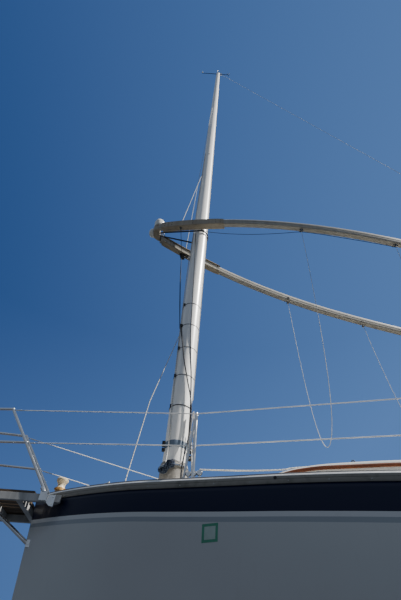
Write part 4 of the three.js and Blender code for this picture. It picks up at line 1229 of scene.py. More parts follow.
def make_eyebrows():
    """Varnished strips just under the roof's edge, that run out forward on the deck."""
    rings = []
    for s in spread(EYEBROW_FRONT, TRUNK_AFT, 80, TRUNK_CROWDING):
        share = 0.35 + 0.65 * smooth_step((s - EYEBROW_FRONT) / 0.35)
        edge = roof_edge(s) + 0.02 * (1 - smooth_step((s - EYEBROW_FRONT - 0.1) / 0.75))
        section = [(out * share - 0.004, between(-0.045, down, share)) for out, down in EYEBROW_SECTION]
        rings.append([on_trunk(BOW_X - s, edge + down, out) for out, down in section])
    Shape().loft(rings).pair("eyebrow_{}_moulding", "teak", RED_TEAK, replaces="eyebrow_{}")


def make_roof():
    """Non-slip on the roof, and the grab rails."""
    panels = Shape()
    for first, last, near in ROOF_PANELS:
        add_panel(panels, first, last, lambda s: near, lambda s: trunk_half(s) - 0.09, roof_top, 0.045)
    panels.both().piece("roof_non_slip", "deck_gelcoat", GRIP)
    for name, _ in SIDES:
        refined(f"grab_rail_{name}", f"grab_rail_{name}_teak", "teak", TEAK, 0.006, segments=3)


def make_hatches():
    x, wide, base = HATCH["x"], 2 * HATCH["half"], HATCH["top"] + 0.0003
    rings = []
    for a, b, away in outward(rounded_outline(wide, wide, 0.05)):
        edge = Vector((x + a, b, base))
        rings.append([edge + away.to_3d() * out + UP * up for out, up in HATCH_SECTION])
    lid = Shape().loft([*rings, rings[0]], filled=False)
    lid.piece("fore_hatch_frame", "alloy", ALLOY, body="fore_hatch_body", replaces="fore_hatch")
    inner = rounded_outline(wide - 0.09, wide - 0.09, 0.03)
    layers = [[(x + a * share, b * share, base + up) for a, b in inner] for up, share in PANE_LAYERS]
    pane = Shape().loft(layers)
    pane.piece("fore_hatch_pane", "smoked_acrylic", ACRYLIC, body="fore_hatch_body", angle=30)
    name = "companion_hatch"
    refined(name, name + "_teak", "teak", TEAK, 0.005, body=name + "_body", segments=3)
    boards = Shape()
    back, front, half, low, high, count = WASHBOARDS.values()
    joints = spread(low, high, count)
    for bottom, top in zip(joints, joints[1:]):
        boards.box((back, -half, bottom + 0.001), (front, half, top - 0.001))
    boards.piece("washboards_teak", "teak", BOARD_TEAK, bevel=0.003, angle=30, replaces="washboards")


# Cockpit

COCKPIT = {"seat": 0.98, "sole": 0.55}
LOCKER = {"front": -1.95, "back": -3.15, "near": 0.46}
SEAT_SLAT_PITCH = 0.056
WHEEL = {"x": -3.44, "z": 1.45, "radius": 0.4, "pedestal": -3.3}
PEDESTAL = mm(
    # radius, height
    (125, 550.3), (125, 565), (118, 575), (96, 605), (82, 660), (74, 800), (71, 1360), (78, 1395),
    (92, 1425), (96, 1450), (96, 1540), (92, 1556), (82, 1562),
)
COMPASS = {
    "base": mm((78, 1555), (80, 1575), (70, 1583)),
    "dome": mm((64, 1583), (62, 1600), (53, 1625), (36, 1645), (18, 1653), (0, 1655), (0, 1583)),
}


def seat_slats(name, side, middle, long, **options):
    start = (middle, side * (LOCKER["near"] + 0.035), COCKPIT["seat"] + 0.0055)
    slats(name, 8, start, (0, side * SEAT_SLAT_PITCH, 0), (long, 0.047, 0.011), **options)


def make_cockpit():
    refined("cockpit", "cockpit_moulding", "deck_gelcoat", CREAM, 0.012, segments=3, flat=0.4)
    front, back = LOCKER["front"], LOCKER["back"]
    for name, side in SIDES:
        lid, body = f"locker_lid_{name}", f"locker_{name}_body"
        refined(lid, lid + "_moulding", "deck_gelcoat", CREAM, 0.005, body=body)
        seat_slats(lid + "_slats", side, (front + back) / 2, front - back - 0.03, body=body)
        seat_slats(f"seat_slats_fore_{name}", side, -1.755, 0.34)
        seat_slats(f"seat_slats_aft_{name}", side, -3.62, 0.88)
    sole = COCKPIT["sole"]
    slats(
        "footwell_grating", 11, (-2.75, -0.32, sole + 0.012), (0, 0.064, 0), (2.24, 0.05, 0.022),
        finish=DARK_TEAK, bevel=0.003,
    )
    slats(
        "footwell_bearers", 6, (-3.72, 0, sole + 0.004), (0.39, 0, 0), (0.03, 0.7, 0.008),
        finish=DARK_TEAK, bevel=0.001,
    )


def make_steering():
    foot = Vector((WHEEL["pedestal"], 0, 0))
    column = Shape().turned(PEDESTAL, foot, count=48)
    column.piece("pedestal_column", "trunk_gelcoat", WHITE_PLASTIC, angle=35, replaces="pedestal")
    compass = Shape().turned(COMPASS["base"], foot, count=40).lathe(COMPASS["dome"], foot, count=40, mark=1)
    compass.piece("compass", "smoked_acrylic", BLACK, ACRYLIC)
    bolts = circle(foot + UP * 0.585, Vector((0.108, 0, 0)), Vector((0, 0.108, 0)), 6)
    studs("pedestal_bolts", bolts, 0.008, 0.7)
    hub = (WHEEL["x"], 0, WHEEL["z"])
    rim = Shape().ring(hub, (1, 0, 0), WHEEL["radius"], 0.0105, 96, 12)
    rim.turned(mm((20, -28), (26, -22), (34, -12), (34, 44.7)), hub, (1, 0, 0), 32)
    rim.turned(mm((12, -31), (14, -26), (14, -20)), hub, (1, 0, 0), 6)
    rim.piece("steering_wheel_rim", "stainless", STEEL, body="wheel_body", replaces="steering_wheel")
    name = "steering_wheel_spokes"
    spokes = grown(SPOKE, name, [(0, 0, 0)], Centre=hub, Reach=WHEEL["radius"], Radius=0.0075, Material=STEEL)
    finished(name, spokes, "stainless", body="wheel_body")
    grip = Shape()
    grip_radius = 0.0135
    for k in range(6):
        arc = []
        for degrees in spread(8, 52, 12):
            turn = pi * k / 3 + radians(degrees)
            out = Vector((0, -sin(turn), cos(turn)))
            centre = Vector(hub) + out * WHEEL["radius"]
            arc.append(circle(centre, out * grip_radius, Vector((grip_radius, 0, 0)), 14))
        grip.loft(arc)
    grip.piece("steering_wheel_grip", "boot_cloth", WHEEL_GRIP, body="wheel_body", angle=50)


# Underwater

FOIL = (
    # share of the chord, share of the half thickness
    (0, 0), (0.006, 0.2), (0.02, 0.36), (0.05, 0.56), (0.1, 0.755), (0.18, 0.92), (0.28, 0.995),
    (0.38, 0.985), (0.5, 0.88), (0.62, 0.71), (0.74, 0.51), (0.86, 0.29), (0.95, 0.115), (1.0, 0.03),
)
KEEL_SECTIONS = (
    # height, nose, chord, thickness
    (-1.52, 1.13, 2.48, 0.23), (-1.25, 1.23, 2.7, 0.22), (-0.7, 1.4, 3.05, 0.24), (-0.3, 1.45, 3.15, 0.26),
)
KEEL_STEPS = (0, 0.004, 0.012, 0.03, 0.06)
RUDDER = {
    "x": -3.95, "stock": 0.028, "top": -0.212, "bottom": -1.33, "lead": 0.19, "chord": 0.72, "thick": 0.092,
}
RUDDER_STEPS = (0, 0.003, 0.01, 0.022)
SHAFT = {"x": -3.38, "z": -0.505, "angle": radians(10), "radius": 0.015, "front": -2.003}
PROPELLER_HUB = mm(
    # radius, along the shaft
    (12, -98), (17, -90), (22, -75), (30, -66), (36, -50), (37, 20), (34, 43), (30, 45),
)
PROPELLER_RADIUS = 0.205


def foil_ring(nose, chord, thick, z):
    side = [(nose - along * chord, out * thick / 2, z) for along, out in FOIL]
    return [*mirrored(side, 1), *reversed(mirrored(side[1:]))]


def tip_rounding(z, bottom, radius):
    """How far a foil's end draws in, close to its tip."""
    end = min(radius, z - bottom)
    return radius - sqrt(max(0, radius ** 2 - (radius - end) ** 2))


def make_keel_and_rudder():
    bottom = KEEL_SECTIONS[0][0]
    rings = []
    for z in [bottom + step for step in KEEL_STEPS] + spread(-1.44, -0.42, 20):
        draw = tip_rounding(z, bottom, 0.05)
        nose, chord, thick = (reading(KEEL_SECTIONS, z, column) for column in (1, 2, 3))
        rings.append(foil_ring(nose - draw, chord - 2 * draw, thick - 1.6 * draw, z))
    Shape().loft(rings).piece("keel_casting", "antifouling", BOTTOM, replaces="keel")
    low, high, x = RUDDER["bottom"], RUDDER["top"], RUDDER["x"]
    rings = []
    for z in [low + step for step in RUDDER_STEPS] + spread(low + 0.04, high, 16):
        shrink = 1 - 0.28 * (high - z) / (high - low)
        draw = tip_rounding(z, low, 0.03)
        nose, chord = x + RUDDER["lead"] * shrink - draw, RUDDER["chord"] * shrink - 2 * draw
        rings.append(foil_ring(nose, chord, RUDDER["thick"] * shrink - draw, z))
    blade = Shape().loft(rings)
    blade.rod((x, 0, -0.9), (x, 0, 0.3297), RUDDER["stock"], 32, 1)
    blade.piece("rudder_blade", "antifouling", BOTTOM, BRONZE, body="rudder_body", replaces="rudder")


def on_shaft(along, turn=0.0, out=0.0):
    """A point along the propeller shaft, forward of the hub, and out from it."""
    ahead = Vector((cos(SHAFT["angle"]), 0, sin(SHAFT["angle"])))
    up = Vector((-sin(SHAFT["angle"]), 0, cos(SHAFT["angle"])))
    away = up * cos(turn) + Vector((0, 1, 0)) * sin(turn)
    return Vector((SHAFT["x"], 0, SHAFT["z"])) + ahead * along + away * out


def make_propeller():
    ahead, up = on_shaft(1) - on_shaft(0), on_shaft(0, 0, 1) - on_shaft(0)
    screw = Shape().turned(PROPELLER_HUB, on_shaft(0), ahead, 32)
    forward = (SHAFT["front"] - SHAFT["x"]) / cos(SHAFT["angle"])
    screw.rod(on_shaft(0.04), on_shaft(forward), SHAFT["radius"], 24)
    for blade in range(3):
        spin = blade * CIRCLE / 3
        side = Vector((0, cos(spin), 0)) - up * sin(spin)
        rings = []
        for share in spread(0, 1, 14):
            radius = between(0.022, PROPELLER_RADIUS, share)
            chord = 0.118 * (1 - (2 * abs(share - 0.62)) ** 2.6 * 0.62) * (1 if share < 0.97 else 0.7)
            pitch = atan2(0.075, radius)
            along = (ahead * sin(pitch) + side * cos(pitch)) * chord / 2
            thick = (ahead * cos(pitch) - side * sin(pitch)) * between(0.01, 0.003, share) / 2
            rings.append(circle(on_shaft(0, spin, radius), along, thick, 16))
        screw.loft(rings)
    screw.piece("propeller_bronze", "bronze", BRONZE, body="propeller_body", replaces="propeller")
    refined("shaft_strut", "shaft_strut_bronze", "bronze", BRONZE, 0.003)
    refined("engine", "engine_block", "engine_paint", ENGINE_PAINT, 0.03, segments=3)


# Bow

SLAT_TOP = 1.38
PULPIT_TOP = 2.13
PULPIT_MIDDLE = 1.795
TUBE_RADIUS = 0.0127
WINDLASS_X = 4.44
ROLLER_PIN = (5.594, 0, 1.352)


def make_platform():
    # The frame's grey finish is painted shade on what is a white frame.
    refined("bow_platform", "bow_platform_frame", "hull_gelcoat", BEAM, 0.004)
    refined("platform_slats", "platform_slats_teak", "teak", DARK_TEAK, 0.003)
    bolts = [(x, y, SLAT_TOP) for x in (4.72, 5.14, 5.52) for y in spread(-0.245, 0.245, 7)]
    studs("platform_bolts", bolts, 0.0065, 0.5)
    strut = Shape().block((4.554, 0.028, 1.058), (0.021, 0.004, 0.028))
    strut.block((4.95, 0.024, 1.2808), (0.02, 0.004, 0.0188)).both()
    strut.rod((4.548, 0, 1.046), (4.948, 0, 1.3), 0.016, 24)
    strut.rod((4.56, -0.034, 1.058), (4.56, 0.034, 1.058), 0.013, 20)
    strut.rod((4.948, -0.032, 1.282), (4.948, 0.032, 1.282), 0.008, 16)
    strut.piece("platform_strut_tube", "stainless", STEEL, bevel=0.0015, replaces="platform_strut")
    corners = ((4.375, 1.262), (4.375, 1.352), (4.475, 1.352), (4.455, 1.305), (4.41, 1.268))
    plates = Shape().plate([(x, 0.2805, z) for x, z in corners], (0, 0.004, 0))
    for x, z in ((4.392, 1.283), (4.392, 1.335), (4.452, 1.335)):
        plates.ball((x, 0.285, z), 0.006, 12, flat=0.6, axis=(0, 1, 0))
    plates.both().piece("platform_brackets", "stainless", STEEL, bevel=0.001)


def make_pulpit():
    top, middle = PULPIT_TOP, PULPIT_MIDDLE
    bends = [
        (5.04, 0.262, top), (5.235, 0.24, top), (5.43, 0.218, top), (5.52, 0.18, top + 0.006),
        (5.565, 0.12, top + 0.01), (5.583, 0.06, top + 0.012), (5.585, 0.0, top + 0.012),
    ]
    lines = [hoop(bends, 6)]
    lines += both_sides([(4.476, 0.2917, 1.38), (4.758, 0.277, 1.755), (5.04, 0.262, top)])
    lines += both_sides([(5.33, 0.225, 1.381), (5.38, 0.22, 1.755), (5.43, 0.215, top)])
    tubes("bow_pulpit_tubes", lines, TUBE_RADIUS, STEEL, "stainless", 16, replaces="bow_pulpit")
    bars = both_sides([(4.786, 0.275, middle), (5.386, 0.222, middle)])
    tubes("bow_pulpit_middle_rail", bars, 0.011, STEEL, "stainless", 14)
    fittings = Shape().block((4.47, 0.293, 1.336), (0.03, 0.012, 0.036))
    socket = mm((17.5, 0), (18.5, 10), (17.5, 45))
    fittings.turned(socket, (4.476, 0.2917, 1.368), (0.6, -0.03, 0.8), 20)
    foot = mm((32, 0), (32, 4), (19, 6), (17.5, 35))
    fittings.turned(foot, (5.33, 0.225, 1.3803), (0.067, 0, 1), 20)
    for joint in ((5.04, 0.262, top), (5.43, 0.216, top), (4.786, 0.275, middle)):
        fittings.ball(joint, 0.0155, 16)
    fittings.both().piece("bow_pulpit_fittings", "stainless", STEEL)
    lamp = Shape().turned([(0.03, 0), (0.03, 0.05), (0.026, 0.058)], (5.52, 0, top + 0.022), count=24)
    lamp.box((5.505, -0.012, top), (5.535, 0.012, top + 0.026))
    lamp.piece("bow_light", "boot_cloth", BLACK, bevel=0.002)


def make_anchor_gear():
    cheek = (
        (5.5503, 1.302), (5.625, 1.302), (5.64, 1.318), (5.64, 1.385), (5.622, 1.418), (5.585, 1.42),
        (5.5503, 1.396),
    )
    roller = Shape().plate([(x, 0.036, z) for x, z in cheek], (0, 0.012, 0)).both()
    roller.rod((5.594, -0.052, 1.352), (5.594, 0.052, 1.352), 0.009, 16)
    roller.rod((5.612, -0.048, 1.4), (5.612, 0.048, 1.4), 0.005, 12)
    groove = mm((40, -34), (41.5, -28), (30, -8), (28, 0), (30, 8), (41.5, 28), (40, 34))
    roller.turned(groove, ROLLER_PIN, (0, 1, 0), 32, 1)
    roller.piece("bow_roller_cheeks", "stainless", STEEL, BLACK, bevel=0.001, replaces="bow_roller")
    foot = Vector((WINDLASS_X, 0, 0))
    low = on_deck(WINDLASS_X, 0, -0.004).z
    base = [
        (0.074, low), (0.074, low + 0.008), (0.064, low + 0.012), (0.062, 1.448), (0.058, 1.457),
        (0.048, 1.464),
    ]
    gypsy = mm((53, 1462), (56, 1468), (46, 1480), (42, 1490), (46, 1500), (55, 1508), (52, 1514))
    drum = mm(
        (0, 1512), (46, 1512), (40, 1520), (34, 1532), (33, 1545), (36, 1558), (46, 1572), (53, 1582),
        (53, 1596), (46, 1604), (26, 1611), (0, 1612),
    )
    windlass = Shape().turned(base, foot, count=40).turned(gypsy, foot, count=40, mark=1)
    windlass.lathe(drum, foot, count=40)
    windlass.turned([(0.022, 1.44), (0.022, 1.395)], foot + Vector((0.05, 0.055, 0)), count=24)
    windlass.piece("windlass_housing", "deck_gelcoat", DRUM, BRONZE, angle=36, replaces="windlass")


# Guard rails

STANCHIONS = (1.345, 3.15, 4.95, 6.65)
STANCHION_HIGH = 0.61
STANCHION_INBOARD = 0.07
HIGH_WIRE = 0.012
LOW_WIRE = 0.3
STERN_POST = Vector((-3.5, 1.5, 1.7))
WIRE_RADIUS = 0.0042
WIRE_STARTS = (
    # foremost end of a wire, how far it runs below the tops of the posts
    ((5.031, 0.2625, PULPIT_TOP - HIGH_WIRE), HIGH_WIRE),
    ((4.784, 0.2755, PULPIT_MIDDLE - 0.005), LOW_WIRE),
)
STANCHION_BASE = mm((36, -3), (36, 4), (30, 7), (18.5, 10), (16.5, 16), (16.5, 58))
TURNBUCKLE_LONG = 0.13
TURNBUCKLE = (
    # first share of its length, last share, radius
    (0, 0.16, 0.00775), (0.16, 0.34, 0.00341), (0.34, 0.72, 0.0062), (0.72, 1, 0.00465),
)


def post_top(s):
    return Vector((BOW_X - s, half_beam(s) - STANCHION_INBOARD, deck_top(s, half_beam(s)) + STANCHION_HIGH))


def make_guard_rails():
    tops = [post_top(s) for s in STANCHIONS]
    posts = Shape()
    for top in tops:
        foot = on_deck(top.x, top.y)
        high = (top - foot).length
        posts.turned(STANCHION_BASE, foot, count=24)
        tube = [(0.012, 0.01), (0.0118, high - 0.008), (0.01, high - 0.002), (0.006, high)]
        posts.turned(tube, foot, count=20)
        for down in (HIGH_WIRE, LOW_WIRE):
            posts.ring(top - UP * down, (1, 0, 0), 0.006, 0.0022, 16, 8)
    foot = on_deck(3.33, 0.735)
    posts.rod(tops[0] + Vector((0.004, -0.001, -0.01)), foot, 0.0095, 16)
    posts.turned(mm((26, -3), (26, 4), (12, 10), (11.5, 30)), foot, count=20)
    posts.ring(tops[0] - UP * 0.02, (0, 0, 1), 0.0125, 0.0042, 24, 8)
    wires = []
    for foremost, down in WIRE_STARTS:
        line = [Vector(foremost), *[top - UP * down for top in tops], STERN_POST + Vector((0.016, 0, -down))]
        for end, following in ((0, 1), (-1, -2)):
            start, way = line[end], line[following] - line[end]
            tip = start + way.normalized() * TURNBUCKLE_LONG
            for low, high, radius in TURNBUCKLE:
                posts.rod(start.lerp(tip, low), start.lerp(tip, high), radius, 10)
            line[end] = start + way.normalized() * (TURNBUCKLE_LONG - 0.03)
        wires.append(line)
    posts.pair("stanchions_{}", "stainless", STEEL, replaces="guard_rail_{}")
    for name, side in SIDES:
        lines = [mirrored(line, side) for line in wires]
        tubes(f"guard_wires_{name}", lines, WIRE_RADIUS, WIRE, "stainless")


def make_stern_rail():
    half = (
        (-3.5, 1.5), (-3.9, 1.452), (-4.25, 1.39), (-4.375, 1.352), (-4.44, 1.3), (-4.49, 1.215),
        (-4.51, 1.1), (-4.5065, 0.8), (-4.5, 0.48), (-4.4985, 0.24), (-4.498, 0.0),
    )
    heights = (STERN_POST.z, STERN_POST.z - LOW_WIRE)
    lines = [hoop([(x, y, z) for x, y in half], 5) for z in heights]
    feet = Shape()
    for x, y in ((-3.5, 1.5), (-4.44, 1.3), (-4.5, 0.48)):
        foot = on_deck(x, y)
        lines += both_sides([foot, (x, y, STERN_POST.z)])
        feet.turned(mm((34, -3), (34, 4), (19, 8), (17.2, 40)), foot, count=20)
        for z in heights:
            feet.ball((x, y, z), 0.0152, 14)
    tubes("stern_rail_tubes", lines, TUBE_RADIUS, STEEL, "stainless", 16, replaces="stern_rail")
    feet.both().piece("stern_rail_feet", "stainless", STEEL)


# Deck gear

TRACK = {"half": 0.9, "x": -4.4, "top": 1.15}
WINCH = {"x": -1.23, "y": 0.62, "top": 1.785}


def make_sheet_track():
    rings = []
    top = TRACK["top"]
    for y in spread(-TRACK["half"], TRACK["half"], 40):
        x = TRACK["x"] + 0.03 * (y / TRACK["half"]) ** 2
        low = deck_top(BOW_X - x, y) - 0.003
        section = (
            (0.016, low), (0.016, low + 0.006), (0.007, low + 0.01), (0.007, top - 0.012),
            (0.016, top - 0.008), (0.016, top - 0.001), (0.0145, top),
        )
        aft = [Vector((x - a, y, z)) for a, z in reversed(section)]
        rings.append([Vector((x + a, y, z)) for a, z in section] + aft)
    Shape().loft(rings).piece("sheet_track_rail", "alloy", ALLOY, replaces="sheet_track")
    car = Shape().box((-4.424, -0.055, 1.1505), (-4.376, 0.055, 1.166))
    car.box((-4.406, -0.02, 1.164), (-4.394, 0.02, 1.2))
    for y in (-0.86, 0.86):
        car.box((-4.393, y - 0.016, 1.14), (-4.351, y + 0.016, 1.172))
    car.piece("sheet_car", "boot_cloth", BLACK, bevel=0.003, angle=30)
    eye = Shape().ring((TRACK["x"], 0, 1.206), (1, 0, 0), 0.016, 0.004, 32, 10)
    eye.piece("sheet_car_eye", "stainless", STEEL)


def make_winches():
    x, y, top = WINCH.values()
    low = roof_top(BOW_X - x, y) - 0.012
    foot = [(0.072, low), (0.072, low + 0.02), (0.07, low + 0.026), (0.058, low + 0.03)]
    drum = [(0, low + 0.028), (0.06, low + 0.028), (0.062, low + 0.034), (0.052, low + 0.046)]
    for k, height in enumerate(spread(low + 0.05, top, 10)):
        ripple = 0.0014 if k % 2 else 0.0
        drum.append((0.04 + 0.01 * (1 - smooth_step(k / 4)) + ripple, height))
    drum += mm((52, 1792), (58, 1797), (58, 1803), (50, 1812), (30, 1817), (0, 1817))
    winch = Shape().turned(foot, (x, y, 0), count=48, mark=1).lathe(drum, (x, y, 0), count=48)
    winch.turned([(0.012, 1.8168), (0.012, 1.8182)], (x, y, 0), count=8, mark=1)
    winch.pair("winch_{}_drum", "stainless", STEEL, BLACK, replaces="winch_{}")


def cleat(shape, centre, along, size):
    """A horned cleat on two feet."""
    along = Vector(along).normalized()
    side = along.cross(UP)
    rings = []
    for share in spread(-1, 1, 12):
        thick = size * (0.052 - 0.022 * abs(share) ** 1.5)
        middle = centre + along * share * size / 2 + UP * size * (0.24 + 0.05 * share ** 4)
        rings.append(circle(middle, side * thick, UP * thick, 12))
    shape.loft(rings)
    for share in (-0.22, 0.22):
        low, high = 0.075 * size, 0.05 * size
        foot = [(low, -0.003), (low, 0.012), (high, 0.03), (high, 0.25 * size)]
        shape.turned(foot, centre + along * share * size, count=16)


def make_cleats_and_vents():
    cleats = Shape()
    for x, y, size in ((4.02, 0.42, 0.2), (0.9, 1.58, 0.16), (-4.15, 1.28, 0.2)):
        s = BOW_X - x
        way = (1, (half_beam(s + 0.1) - half_beam(s - 0.1)) * -5, 0)
        cleat(cleats, on_deck(x, min(y, half_beam(s) - 0.1)), way, size)
    cleat(cleats, on_roof(-0.92, 0.56), (1, 0, 0), 0.14)
    cleats.both().piece("cleats", "alloy", ALLOY)
    vents = Shape()
    cowl = mm(
        (0, 50), (52, 50), (50, 62), (40, 75), (40, 110), (46, 135), (62, 155), (66, 170), (58, 182),
        (34, 188), (0, 190),
    )
    x, y = 0.62, 0.42
    base = roof_top(BOW_X - x, y)
    vents.box((x - 0.11, y - 0.07, base - 0.02), (x + 0.11, y + 0.07, base + 0.055), 1)
    vents.lathe(cowl, (x + 0.03, y, base), count=32).both()
    vents.piece("roof_vents", "trunk_gelcoat", WHITE_PLASTIC, TEAK, bevel=0.004, angle=35)
    caps = Shape()
    cap = mm((0, -2), (36, -2), (36, 3), (31, 5), (6, 5), (0, 4))
    for x, y in ((3.98, -0.3), (-1.72, 1.28), (-2.6, -1.28)):
        caps.lathe(cap, on_deck(x, y), count=32)
    caps.piece("deck_filler_caps", "stainless", STEEL)


# Mast

MAST_TOP = 16.5
SAIL_TRACK = mm((-3, 14), (4, 14), (5, 6), (13, 6))
MAST_STRAPS = (
    # height above the water, thickness of the strap
    (2.405, 0.0052), (2.8, 0.0036), (3.21, 0.0036), (3.59, 0.0036), (3.98, 0.0036),
)
MAST_BAND_Z = 1.975
BOOT_INSIDE = 0.1189
BOOT_FOLDED = 0.31
BOOT_PROFILE = mm(
    # radius, height above the deck
    (190, -60), (188.5, -35), (181, -16), (170, 10), (158, 35), (147, 62), (141, 95), (138, 150),
    (135.5, 220), (132.5, 295), (131, 318), (137, 326), (140.5, 333), (140.5, 352), (134, 358),
    (134.5, 372), (129, 388), (122, 390),
)
MASTHEAD_UP = 15.09


def make_mast():
    heights = [-0.2, *spread(1.2, MAST_TOP, 60)]
    spar = Shape().turned([(mast_radius(z), z - MAST_FOOT.z) for z in heights], MAST_FOOT, MAST_AXIS, 72)
    spar.piece("mast_tube", "spar_paint", SPAR, replaces="mast")
    section = [(out, -y) for out, y in SAIL_TRACK] + list(reversed(SAIL_TRACK))
    rings = []
    for z in spread(2.55, 16.42, 60):
        rings.append([on_mast(z, 180, out) + Vector((0, y, 0)) for out, y in section])
    Shape().loft(rings).piece("sail_track", "alloy", ALLOY)
    straps = Shape()
    for z, thick in MAST_STRAPS:
        straps.ring(mast_axis(z), MAST_AXIS, mast_radius(z) + thick * 0.3, thick, 72, 8)
        straps.block(on_mast(z, 38, 0.012), (0.012, 0.007, 0.02))
    straps.piece("mast_straps", "line", BLACK)
    half = mm((-2, -35), (1.2, -35), (1.6, -33))
    tape = [*half, *((out, -up) for out, up in reversed(half))]
    profile = [(mast_radius(MAST_BAND_Z) + out, up) for out, up in tape]
    Shape().lathe(profile, mast_axis(MAST_BAND_Z), MAST_AXIS, 72).piece("mast_band", "spar_paint", BAND_TAPE)
    fittings = Shape()
    for z, degrees, tall in ((2.0, 12, 0.055), (1.93, 20, 0.03)):
        fittings.block(on_mast(z, degrees, 0.012), (0.016, 0.014, tall / 2))
    for z, degrees, radius in ((9.0, 96, 0.017), (7.9, 88, 0.006)):
        out = on_mast(z, degrees, 0.1) - on_mast(z, degrees)
        button = [(radius, -0.004), (radius, 0.002), (radius * 0.7, 0.0035)]
        fittings.turned(button, on_mast(z, degrees), out, 20)
    fittings.piece("mast_fittings", "boot_cloth", BLACK, bevel=0.003)


def make_mast_boot():
    rings = []
    right, up = sides_of(MAST_AXIS)
    for radius, height in [(BOOT_INSIDE, -0.06), *BOOT_PROFILE, (BOOT_INSIDE, 0.39)]:
        ring = []
        for turn in spread(0, CIRCLE, 96)[:-1]:
            reach = radius
            if 0 < height < BOOT_FOLDED:
                share = 1 - height / BOOT_FOLDED
                reach += 0.0035 * sin(9 * turn + 14 * height) * sin(pi * share)
                reach += 0.0022 * sin(23 * turn - 30 * height) * share
            ring.append(MAST_FOOT + MAST_AXIS * height + (right * cos(turn) + up * sin(turn)) * reach)
        rings.append(ring)
    boot = Shape().loft([*rings, rings[0]], filled=False)
    boot.piece("mast_boot_canvas", "boot_cloth", CANVAS, angle=50, replaces="mast_boot")
    clamps = Shape()
    for height, radius in ((0.343, 0.1412), (-0.01, 0.181)):
        inside, outside = radius - 0.003, radius + 0.0012
        band = [(inside, -0.006), (outside, -0.006), (outside, 0.006), (inside, 0.006)]
        clamps.lathe(band, MAST_FOOT + MAST_AXIS * height, MAST_AXIS, 64)
    clamps.piece("mast_boot_clamps", "stainless", STEEL)


def at_masthead(x, y, up):
    ahead = Vector((cos(MAST_RAKE), 0, sin(MAST_RAKE)))
    return MAST_FOOT + ahead * x + Vector((0, y, 0)) + MAST_AXIS * (MASTHEAD_UP + up)


def upright(shape, x, low, high, radius, count, mark=1, end_radius=None):
    shape.rod(at_masthead(x, 0, low), at_masthead(x, 0, high), radius, count, mark, end_radius)


def make_masthead():
    plate = mm((62, 0.4), (64, 4), (64, 23), (60, 28), (20, 31))
    head = Shape().turned(plate, at_masthead(0, 0, 0), MAST_AXIS, 40)
    section = mm((-9, 18), (9, 18), (9, 30), (-9, 30))
    head.loft([[at_masthead(x, y, z) for y, z in section] for x in (-0.4, 0.59)], 1)
    upright(head, 0.03, 0.02, 0.62, 0.0035, 10, 0, 0.0018)
    upright(head, 0.03, 0.02, 0.1, 0.011, 16)
    upright(head, 0.575, 0.02, 0.105, 0.008, 12)
    lamp = mm((0, 0), (20, 0), (23, 20), (20, 45), (10, 62), (0, 65))
    head.lathe(lamp, at_masthead(0.575, 0, 0.1), MAST_AXIS, 24, 2)
    upright(head, -0.39, 0.02, 0.075, 0.007, 12)
    for k in range(3):
        turn = CIRCLE * k / 3 + 0.4
        tip = at_masthead(-0.39 + 0.048 * cos(turn), 0.048 * sin(turn), 0.085)
        head.rod(at_masthead(-0.39, 0, 0.085), tip, 0.0016, 8, 1)
        head.ball(tip, 0.014, 12, 1)
    head.box(at_masthead(-0.052, -0.02, 0.03) - Vector((0.02, 0, 0)), at_masthead(0.045, 0.02, 0.075))
    head.piece("masthead_gear", "alloy", ALLOY, BLACK, WHITE_PLASTIC, bevel=0.0015, replaces="masthead")
    crane = Shape()
    corners = mm((-55, -90), (-145, -20), (-145, 12), (-60, 12))
    for y in (-0.03, 0.03):
        crane.plate([at_masthead(x, y, z) for x, z in corners], (0, 0.004, 0))
    crane.rod(at_masthead(-0.125, -0.034, -0.005), at_masthead(-0.125, 0.036, -0.005), 0.006, 12)
    crane.piece("masthead_crane", "alloy", ALLOY, bevel=0.001)


# Wishbone boom

ARM_QUARTER = (
    # shares of the arm's width and depth: rounded, with a shallow groove along its side
    (0.455, 0.055), (0.5, 0.075), (0.5, 0.3), (0.475, 0.4), (0.41, 0.465), (0.3, 0.495), (0.1, 0.5),
)
CASTING_QUARTER = ((1, 0.3), (0.96, 0.4), (0.86, 0.47), (0.7, 0.5))
SLEEVE_END = 1.1
SLEEVE_BOLTS = (0.16, 0.22, 0.28, 0.62, 0.98, 1.05)
DOME = mm(
    # radius, height
    (0, 0), (74, 0), (80, 6), (83.5, 35), (85, 55), (83.5, 60), (85, 66), (85, 110), (82, 138), (73, 166),
    (58, 188), (38, 202), (18, 207.5), (0, 208),
)


def all_round(quarter):
    """A closed section from its quarter."""
    half = [*quarter, *[(-a, b) for a, b in reversed(quarter)]]
    return [*half, *[(-a, -b) for a, b in half]]


def between_arms(t, up=0.0):
    return Vector((NOSE_X - t, 0, NOSE_Z - t * BOOM_SLOPE + up))


